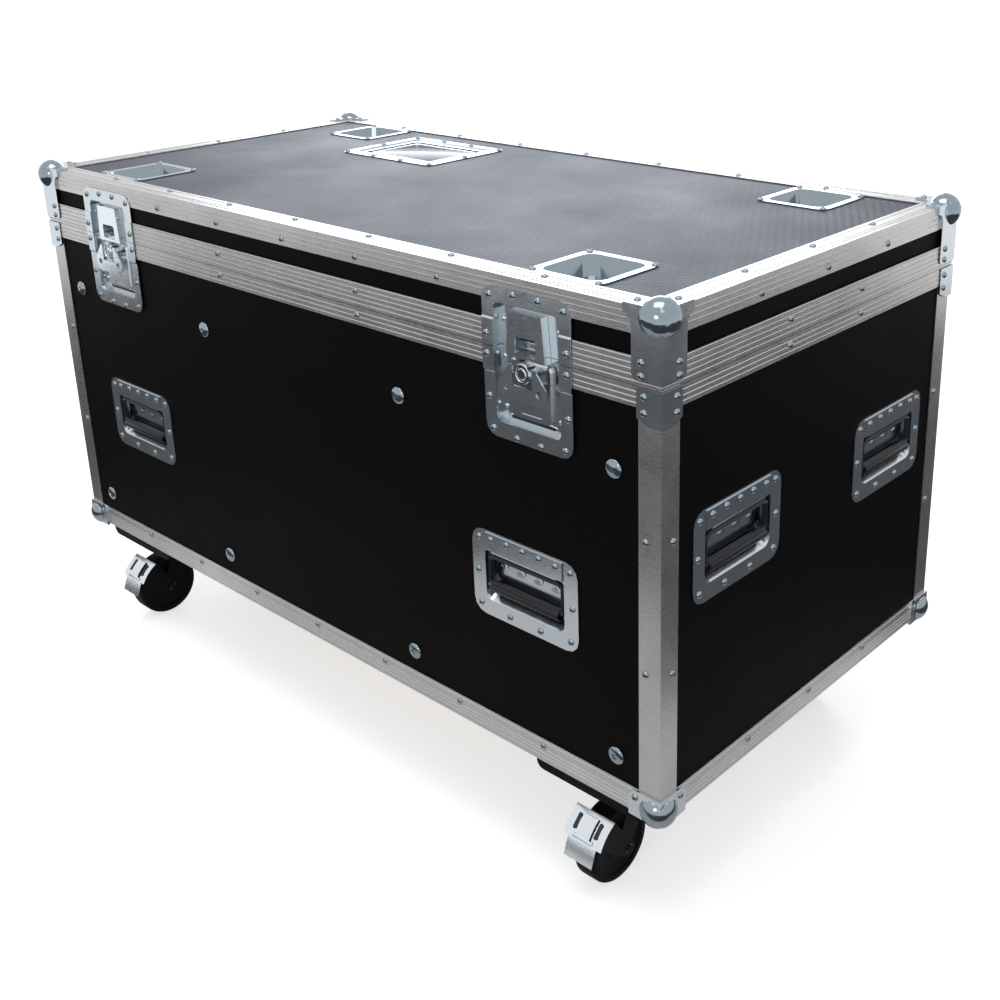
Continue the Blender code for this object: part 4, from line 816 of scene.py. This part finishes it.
class FLIGHTCASE_OT_latches(bpy.types.Operator):
    """Studs, pressed foot and lip, the steps behind the tongue's window and the spindle's head, with painted
    highlight on the bright strips and the spindle's sides, and painted shadow on the dark strips and the spindle's
    face
    """

    bl_idname = "flightcase.latches"
    bl_label = "Latches"

    def execute(self, context):
        for side, sx in SIDES.items():
            base = on_wall("front", sx * LATCH_AT, SPLIT)
            dish, keeper = [f"latch_dish_{side}"], [f"keeper_dish_{side}"]
            studs = (("base", LATCH_STUDS, dish, "case"), ("keeper", KEEPER_STUDS, keeper, "lid"))
            for name, spots, nodes, body in studs:
                made = stamped(turned(STUD, 12), [seat_inside(base, u, v, nodes) for u, v in spots])
                piece(f"latch_{name}_studs_{side}", made, "bright_zinc", body, 40)
            # A lip in bright zinc, brighter than the dish as painted highlight, over a dark strip that is painted
            # shadow.
            foot = seat_inside(base, 0.0, LATCH_FOOT_UP, dish) @ SUNK
            made = stamped(plate(0.070, 0.0062, 0.0030, 0.0008, 0.0003), [foot])
            piece(f"latch_foot_lip_highlight_{side}", made, "bright_zinc", "case", 40)
            made = stamped(plate(0.066, 0.0040, 0.0018, 0.0010, 0.0002), [foot])
            piece(f"latch_foot_painted_shadow_{side}", made, "shadow_metal", "case", 40)
            window = seat_inside(base, 0.0, WINDOW_UP, dish + keeper) @ SUNK
            for name, finish, steps in WINDOW_STEPS:
                made = bmesh.new()
                for v, height in steps:
                    step = plate(0.0290, height, 0.0004, 0.0016, 0.0003)
                    stamp(made, step, window @ Matrix.Translation((0, v, 0)))
                    step.free()
                piece(f"latch_window_{name}_{side}", made, finish, "lid", 40)
            # A thin bright strip on the housing's top edge: painted highlight.
            lip = seat_inside(base, *HOUSING_LIP, dish) @ SUNK
            made = stamped(plate(0.0440, 0.0022, 0.0008, 0.0014, 0.0005), [lip])
            piece(f"latch_housing_lip_highlight_{side}", made, "bright_zinc", "case", 40)
            # The spindle's front face takes the deep zinc and its other faces the bright zinc: painted shade and
            # painted highlight on one solid.
            node, body, finishes = f"latch_spindle_{side}", f"spindle_{side}", ("bright_zinc", "deep_zinc")
            refinished(f"spindle_lit_sides_shaded_face_{side}", node, body, finishes, lambda face: face.normal.y < -FLAT)
            low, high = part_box(node)
            face = base.inverted() @ Vector(((low.x + high.x) / 2, low.y, (low.z + high.z) / 2))
            made = bmesh.new()
            for radius, wire in SPINDLE_RINGS:
                slope = wire * 0.7
                dome = [(radius - slope, slope), (radius, wire), (radius + slope, slope)]
                ring = turned([(radius - wire, -0.0002), *dome, (radius + wire, -0.0002)], 28)
                stamp(made, ring, base @ Matrix.Translation(face - Vector((0, 0, RING_SUNK))))
                ring.free()
            piece(f"latch_spindle_rings_{side}", made, "bright_zinc", body, 40)
        return {"FINISHED"}


# The label's rolled rim, from its outer edge inwards: width, height, corner radius and rise.
LABEL_RIM = (
    (0.140, 0.100, 0.006, 0.0),
    (0.139, 0.099, 0.0056, 0.0009),
    (0.135, 0.095, 0.0046, 0.0009),
    (0.134, 0.094, 0.0042, 0.0),
)


class FLIGHTCASE_OT_label_window(bpy.types.Operator):
    """Pale card behind a clear film, held by a thin rolled rim in the lid's label dish"""

    bl_idname = "flightcase.label_window"
    bl_label = "Label window"

    def execute(self, context):
        base = seat("top", *LABEL_AT, sink=0.0)
        film = plate(0.132, 0.092, 0.004, 0.0006, 0.0002)
        piece("label_film", stamped(film, [base]), "window", "lid", 30)
        piece("label_rim", stamped(pressing(LABEL_RIM, 4), [base]), "bright_zinc", "lid", 30)
        return {"FINISHED"}


# ---------------------------------------------------------------- casters


# A wheel's side below the tread: share of the radius, and rise from the side's face.
WHEEL_SIDE = (
    (0.80, 0.0), (0.79, -0.0008), (0.775, -0.0008), (0.765, -0.0022),
    (0.72, -0.0036), (0.44, -0.0042), (0.36, -0.0016), (0.30, 0.0006),
)
CORE_SHARE = 0.785
WHEEL_WIDTH, WHEEL_BORE = 0.032, 0.0056
AXLE_NUT_IN = 0.0042


def wheel_shape(radius):
    """A caster wheel turned about Z: rounded tread, a step to the core, a dished web and a hub."""
    w, bore, t = WHEEL_WIDTH / 2, WHEEL_BORE, sizes().tyre_round
    tread = [(radius - t + t * cos(radians(a)), w - t + t * sin(radians(a))) for a in (0, 22, 45, 68, 90)]
    side = [(radius * share, w + rise) for share, rise in WHEEL_SIDE]
    hub = [(bore * 1.25, w + 0.0008), (bore * 1.2, w - 0.0006), (bore, w - 0.0006)]
    upper = [*tread, *side, *hub]
    made = turned(upper + [(x, -z) for x, z in upper[::-1]], 56, closed=True)
    for face in made.faces:
        face.material_index = int(face.calc_center_median().xy.length <= radius * CORE_SHARE)
    return made


class FLIGHTCASE_OT_wheels(bpy.types.Operator):
    """Wheels with a rounded rubber tread on a dished core, and the bolts through their forks"""

    bl_idname = "flightcase.wheels"
    bl_label = "Wheels"

    def execute(self, context):
        for name in CORNERS:
            low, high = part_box(f"caster_wheel_{name}")
            size = high - low
            along_x = size.x < size.y
            turn = Matrix.Rotation(radians(90), 4, "Y" if along_x else "X")
            place = Matrix.Translation((low + high) / 2) @ turn
            made = stamped(wheel_shape(size.z / 2), [place])
            wheel = piece(f"wheel_{name}", made, "wheel", f"wheel_{name}", 35, ("wheel_core",))
            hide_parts(f"caster_wheel_{name}")
            fork_low, fork_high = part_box(f"caster_fork_{name}")
            fork = fork_high - fork_low
            reach = (fork.x if along_x else fork.y) / 2 - AXLE_NUT_IN
            out = Matrix.Translation((0, 0, reach))
            sides = [place @ Matrix.Rotation(radians(angle), 4, "X") @ out for angle in (180, 0)]
            made = stamped(rod(0.0062, 0.0022, 6, 0.0005), sides)
            piece(f"axle_nuts_{name}", made, "bright_zinc", f"fork_{name}", 30)
        return {"FINISHED"}


# The pedal's face lies on a round about its axle. Tabs: angle above the axle, width and height.
PEDAL_REACH = 0.0578
PEDAL_TABS = ((46, 0.0200, 0.0240), (30, 0.0300, 0.0050))
PEDAL_SLOT_AT = 0.0160
RACE = ((0.0262, -0.0022), (0.0284, -0.0016), (0.0290, 0.0), (0.0284, 0.0016), (0.0262, 0.0022))
RACE_UP = 0.0030


def pedal_face(axle, angle):
    """A place on a pedal's curved face, at an angle above its axle, with +Z outwards and +Y up the face."""
    turn = Matrix.Rotation(radians(90 - angle), 4, "X")
    return Matrix.Translation(axle) @ turn @ Matrix.Translation((0, 0, PEDAL_REACH))


class FLIGHTCASE_OT_brakes(bpy.types.Operator):
    """Raised tab of each brake pedal, dark strips as painted shadow in its slots, its side cheeks painted black as
    painted shade, and the ball race of each caster
    """

    bl_idname = "flightcase.brakes"
    bl_label = "Brake pedals and races"

    def execute(self, context):
        for name in ("front_left", "front_right"):
            # Faces square to the axle, the pedal's side cheeks, take the black finish as painted shade.
            node, body, finishes = f"brake_pedal_{name}", f"pedal_{name}", ("bright_zinc", "black_metal")
            refinished(f"pedal_and_shaded_cheeks_{name}", node, body, finishes, lambda face: abs(face.normal.x) > FLAT)
            low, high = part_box(f"caster_wheel_{name}")
            axle = (low + high) / 2
            tabs = bmesh.new()
            for angle, width, height in PEDAL_TABS:
                tab = plate(width, height, 0.0020, 0.0016, 0.0008)
                stamp(tabs, tab, pedal_face(axle, angle))
                tab.free()
            piece(f"pedal_tab_{name}", tabs, "bright_zinc", body, 30)
            # Dark strips stand where the slots are: painted shadow.
            face = pedal_face(axle, PEDAL_TABS[0][0])
            sides = [face @ Matrix.Translation((side * PEDAL_SLOT_AT, 0, 0)) for side in (-1, 1)]
            slots = stamped(plate(0.0050, 0.0200, 0.0024, 0.0004, 0.0001), sides)
            piece(f"pedal_slot_shadows_{name}", slots, "shadow_metal", body, 30)
        for name in CORNERS:
            low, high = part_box(f"caster_plate_{name}")
            middle = (low + high) / 2
            place = Matrix.Translation((middle.x, middle.y, low.z + RACE_UP))
            made = stamped(turned(RACE, 40, closed=True), [place])
            piece(f"caster_race_{name}", made, "zinc", "case", 40)
        return {"FINISHED"}


# Bolts of a caster's plate, from its middle, and how far their washers sink in it.
CASTER_BOLT_AT, CASTER_BOLT_SUNK = (0.0400, 0.0330), 0.0030


class FLIGHTCASE_OT_caster_bolts(bpy.types.Operator):
    """Bolts that hold the caster plates, each with its washer"""

    bl_idname = "flightcase.caster_bolts"
    bl_label = "Caster bolts"

    def execute(self, context):
        made = bmesh.new()
        nut = rod(0.0065, 0.0050, 6, 0.0006)
        washer = rod(0.0088, 0.0012, 20, 0.0003)
        x, y = CASTER_BOLT_AT
        for name in CORNERS:
            low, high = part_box(f"caster_plate_{name}")
            middle = (low + high) / 2
            for sx, sy in ((-1, -1), (-1, 1), (1, -1), (1, 1)):
                spot = Vector((middle.x + sx * x, middle.y + sy * y, high.z - CASTER_BOLT_SUNK))
                down = Matrix.Translation(spot) @ Matrix.Rotation(pi, 4, "X")
                stamp(made, washer, down)
                stamp(made, nut, down @ Matrix.Translation((0, 0, 0.0010)))
        nut.free()
        washer.free()
        piece("caster_bolts", made, "bright_zinc", "case", 30)
        return {"FINISHED"}


# ---------------------------------------------------------------- finishes on the solids, stage and running


# Solids of the slot "zinc" that are a deeper blue than the rest of it.
DEEP_BLUE = ("castor_dish", "label_dish")


class FLIGHTCASE_OT_finishes(bpy.types.Operator):
    """Give every solid of the case its finish, by the record's material slots"""

    bl_idname = "flightcase.finishes"
    bl_label = "Finishes"

    def execute(self, context):
        for row in frame["record"]["subparts"]:
            solid = frame["nodes"][row["node"]]
            finish = "deep_zinc" if row["node"].startswith(DEEP_BLUE) else row["material_slot"]
            for slot in solid.material_slots:
                slot.material = finish_of(finish)
        return {"FINISHED"}


# Lamps: place, what they point at, size, watts and colour.
LAMPS = {
    "key_window": ((-2.8, 3.1, 2.1), (0.0, 0.0, 0.6), (3.0, 1.7), 70.0, (0.88, 0.95, 1.0)),
    "sky": ((0.3, -0.6, 3.6), (0.0, 0.0, 0.5), (2.2, 1.6), 30.0, (1.0, 0.99, 0.98)),
    "front_fill": ((1.4, -3.4, 1.7), (0.3, -0.2, 0.4), (0.9, 0.7), 12.0, (0.94, 0.98, 1.0)),
}
# Grey cards on the floor: place, size and turn in degrees.
CARDS = {
    "front_card": ((-0.86, -1.57), (3.2, 2.0), -25.7),
    "end_card": ((1.68, 0.76), (2.0, 2.6), 24.4),
    "view_card": ((1.10, -1.16), (1.7, 1.6), 40.9),
}
# How strongly the floor shines for the camera, and in metal near to the case and far from it.
FLOOR_SEEN, FLOOR_MIRRORED, FLOOR_DISTANCE = 0.62, (0.16, 0.66), (1.0, 3.5)
WORLD_AS_LIGHT, WORLD_SEEN = 0.42, 1.0


class FLIGHTCASE_OT_stage(bpy.types.Operator):
    """Pale floor, soft lamps, grey cards, plain world and the camera"""

    bl_idname = "flightcase.stage"
    bl_label = "Stage"

    def execute(self, context):
        floor()
        world()
        for name, settings in LAMPS.items():
            lamp(name, *settings)
        for name, settings in CARDS.items():
            card(name, *settings)
        camera()
        context.scene.view_settings.view_transform = "Standard"
        return {"FINISHED"}


def stage_piece(name, finish, made, colour):
    """A part of the stage with a dull finish, and its recipe."""
    mesh = bpy.data.meshes.new(name)
    made.to_mesh(mesh)
    made.free()
    obj = bpy.data.objects.new(name, mesh)
    bpy.context.scene.collection.objects.link(obj)
    recipe = Recipe(finish)
    recipe.set(base_color=(*colour, 1), roughness=0.9, specular_ior_level=0.1)
    mesh.materials.append(recipe.material)
    return obj, recipe


def floor():
    """White where the camera sees it, and darker in the metal near the case, where it lies in shade."""
    made = bmesh.new()
    bmesh.ops.create_grid(made, x_segments=1, y_segments=1, size=60.0)
    r = stage_piece("stage_floor", "stage_pale_floor", made, (0.90, 0.90, 0.90))[1]
    away = r.node("ShaderNodeVectorMath", {"Vector": r.place}, operation="LENGTH").outputs["Value"]
    (near, far), (dim, bright) = FLOOR_DISTANCE, FLOOR_MIRRORED
    inputs = {"Value": away, "From Min": near, "From Max": far, "To Min": dim, "To Max": bright}
    lift = r.node("ShaderNodeMapRange", inputs).outputs["Result"]
    path = r.node("ShaderNodeLightPath").outputs
    direct = r.math("MULTIPLY", path["Is Camera Ray"], FLOOR_SEEN)
    mirror = r.math("MAXIMUM", path["Is Glossy Ray"], path["Is Transmission Ray"])
    strength = r.math("MAXIMUM", direct, r.math("MULTIPLY", mirror, lift))
    r.set(emission_color=(1, 1, 1, 1), emission_strength=strength)


def card(name, place, size, turn):
    """A grey card lying beside the picture, which gives the upright metal something dark to show."""
    obj = stage_piece(name, name, plate(*size, 0.0, 0.004), (0.15, 0.15, 0.155))[0]
    obj.location = (*place, 0.001)
    obj.rotation_euler = (0, 0, radians(turn))
    obj.visible_camera = obj.visible_shadow = obj.visible_diffuse = False


def world():
    """White for the camera and for reflections, softer as a light."""
    made = bpy.data.worlds.new("stage_world")
    made.use_nodes = True
    bpy.context.scene.world = made
    tree = made.node_tree
    background = tree.nodes["Background"]
    background.inputs["Color"].default_value = (1, 1, 1, 1)
    path = tree.nodes.new("ShaderNodeLightPath")
    seen = path.outputs["Is Camera Ray"]
    for ray in ("Is Glossy Ray", "Is Transmission Ray"):
        either = tree.nodes.new("ShaderNodeMath")
        either.operation = "MAXIMUM"
        tree.links.new(seen, either.inputs[0])
        tree.links.new(path.outputs[ray], either.inputs[1])
        seen = either.outputs[0]
    strength = tree.nodes.new("ShaderNodeMapRange")
    tree.links.new(seen, strength.inputs["Value"])
    strength.inputs["To Min"].default_value = WORLD_AS_LIGHT
    strength.inputs["To Max"].default_value = WORLD_SEEN
    tree.links.new(strength.outputs["Result"], background.inputs["Strength"])


def lamp(name, place, aim, size, power, colour):
    data = bpy.data.lights.new(name, "AREA")
    data.shape, data.size, data.size_y = "RECTANGLE", *size
    data.energy, data.color = power, colour
    obj = bpy.data.objects.new(name, data)
    bpy.context.scene.collection.objects.link(obj)
    obj.location = place
    obj.rotation_euler = (Vector(aim) - Vector(place)).to_track_quat("-Z", "Y").to_euler()


# The view of the photograph: place in metres, and the frame turned by azimuth, elevation and roll.
CAMERA_AT = (MIDDLE.x + 1.32886, MIDDLE.y - 1.23274, CASE_FOOT + 0.95524)
CAMERA_TURN = (42.298, 19.407, -1.166)
CAMERA_LENS = 47.01
CAMERA_SHIFT = (-0.0696, -0.1374)


def camera():
    data = bpy.data.cameras.new("view")
    data.sensor_width, data.lens = 36.0, CAMERA_LENS
    data.shift_x, data.shift_y = CAMERA_SHIFT
    data.clip_start, data.clip_end = 0.05, 60.0
    obj = bpy.data.objects.new("view", data)
    bpy.context.scene.collection.objects.link(obj)
    azimuth, elevation, roll = (radians(angle) for angle in CAMERA_TURN)
    back = Vector((sin(azimuth) * cos(elevation), -cos(azimuth) * cos(elevation), sin(elevation)))
    right = (-back).cross(Vector((0, 0, 1))).normalized()
    up = right.cross(-back)
    tilted = (right * cos(roll) + up * sin(roll), up * cos(roll) - right * sin(roll))
    obj.matrix_world = Matrix.Translation(CAMERA_AT) @ Matrix((*tilted, back)).transposed().to_4x4()
    bpy.context.scene.camera = obj


class FLIGHTCASE_PT_looks(bpy.types.Panel):
    """Sizes, colours and the steps that build the looks"""

    bl_idname = "FLIGHTCASE_PT_looks"
    bl_label = "Flight case"
    bl_space_type = "VIEW_3D"
    bl_region_type = "UI"
    bl_category = "Flight case"

    def draw(self, context):
        for owner in (context.scene.flight_case_sizes, context.scene.flight_case_colours):
            box = self.layout.box()
            for name in owner.__annotations__:
                box.prop(owner, name)
        for operator in STEPS:
            self.layout.operator(operator.bl_idname)


STEPS = (
    FLIGHTCASE_OT_finishes,
    FLIGHTCASE_OT_edges,
    FLIGHTCASE_OT_edge_rivets,
    FLIGHTCASE_OT_fitting_rivets,
    FLIGHTCASE_OT_dome_bolts,
    FLIGHTCASE_OT_handles,
    FLIGHTCASE_OT_latches,
    FLIGHTCASE_OT_label_window,
    FLIGHTCASE_OT_wheels,
    FLIGHTCASE_OT_brakes,
    FLIGHTCASE_OT_caster_bolts,
    FLIGHTCASE_OT_stage,
)
CLASSES = (FlightCaseSizes, FlightCaseColours, *STEPS, FLIGHTCASE_PT_looks)


def register():
    for each in CLASSES:
        bpy.utils.register_class(each)
    bpy.types.Scene.flight_case_sizes = PointerProperty(type=FlightCaseSizes)
    bpy.types.Scene.flight_case_colours = PointerProperty(type=FlightCaseColours)


def unregister():
    del bpy.types.Scene.flight_case_colours
    del bpy.types.Scene.flight_case_sizes
    for each in reversed(CLASSES):
        bpy.utils.unregister_class(each)


def main():
    register()
    for step in STEPS:
        group, name = step.bl_idname.split(".")
        getattr(getattr(bpy.ops, group), name)()


if __name__ == "__main__":
    main()
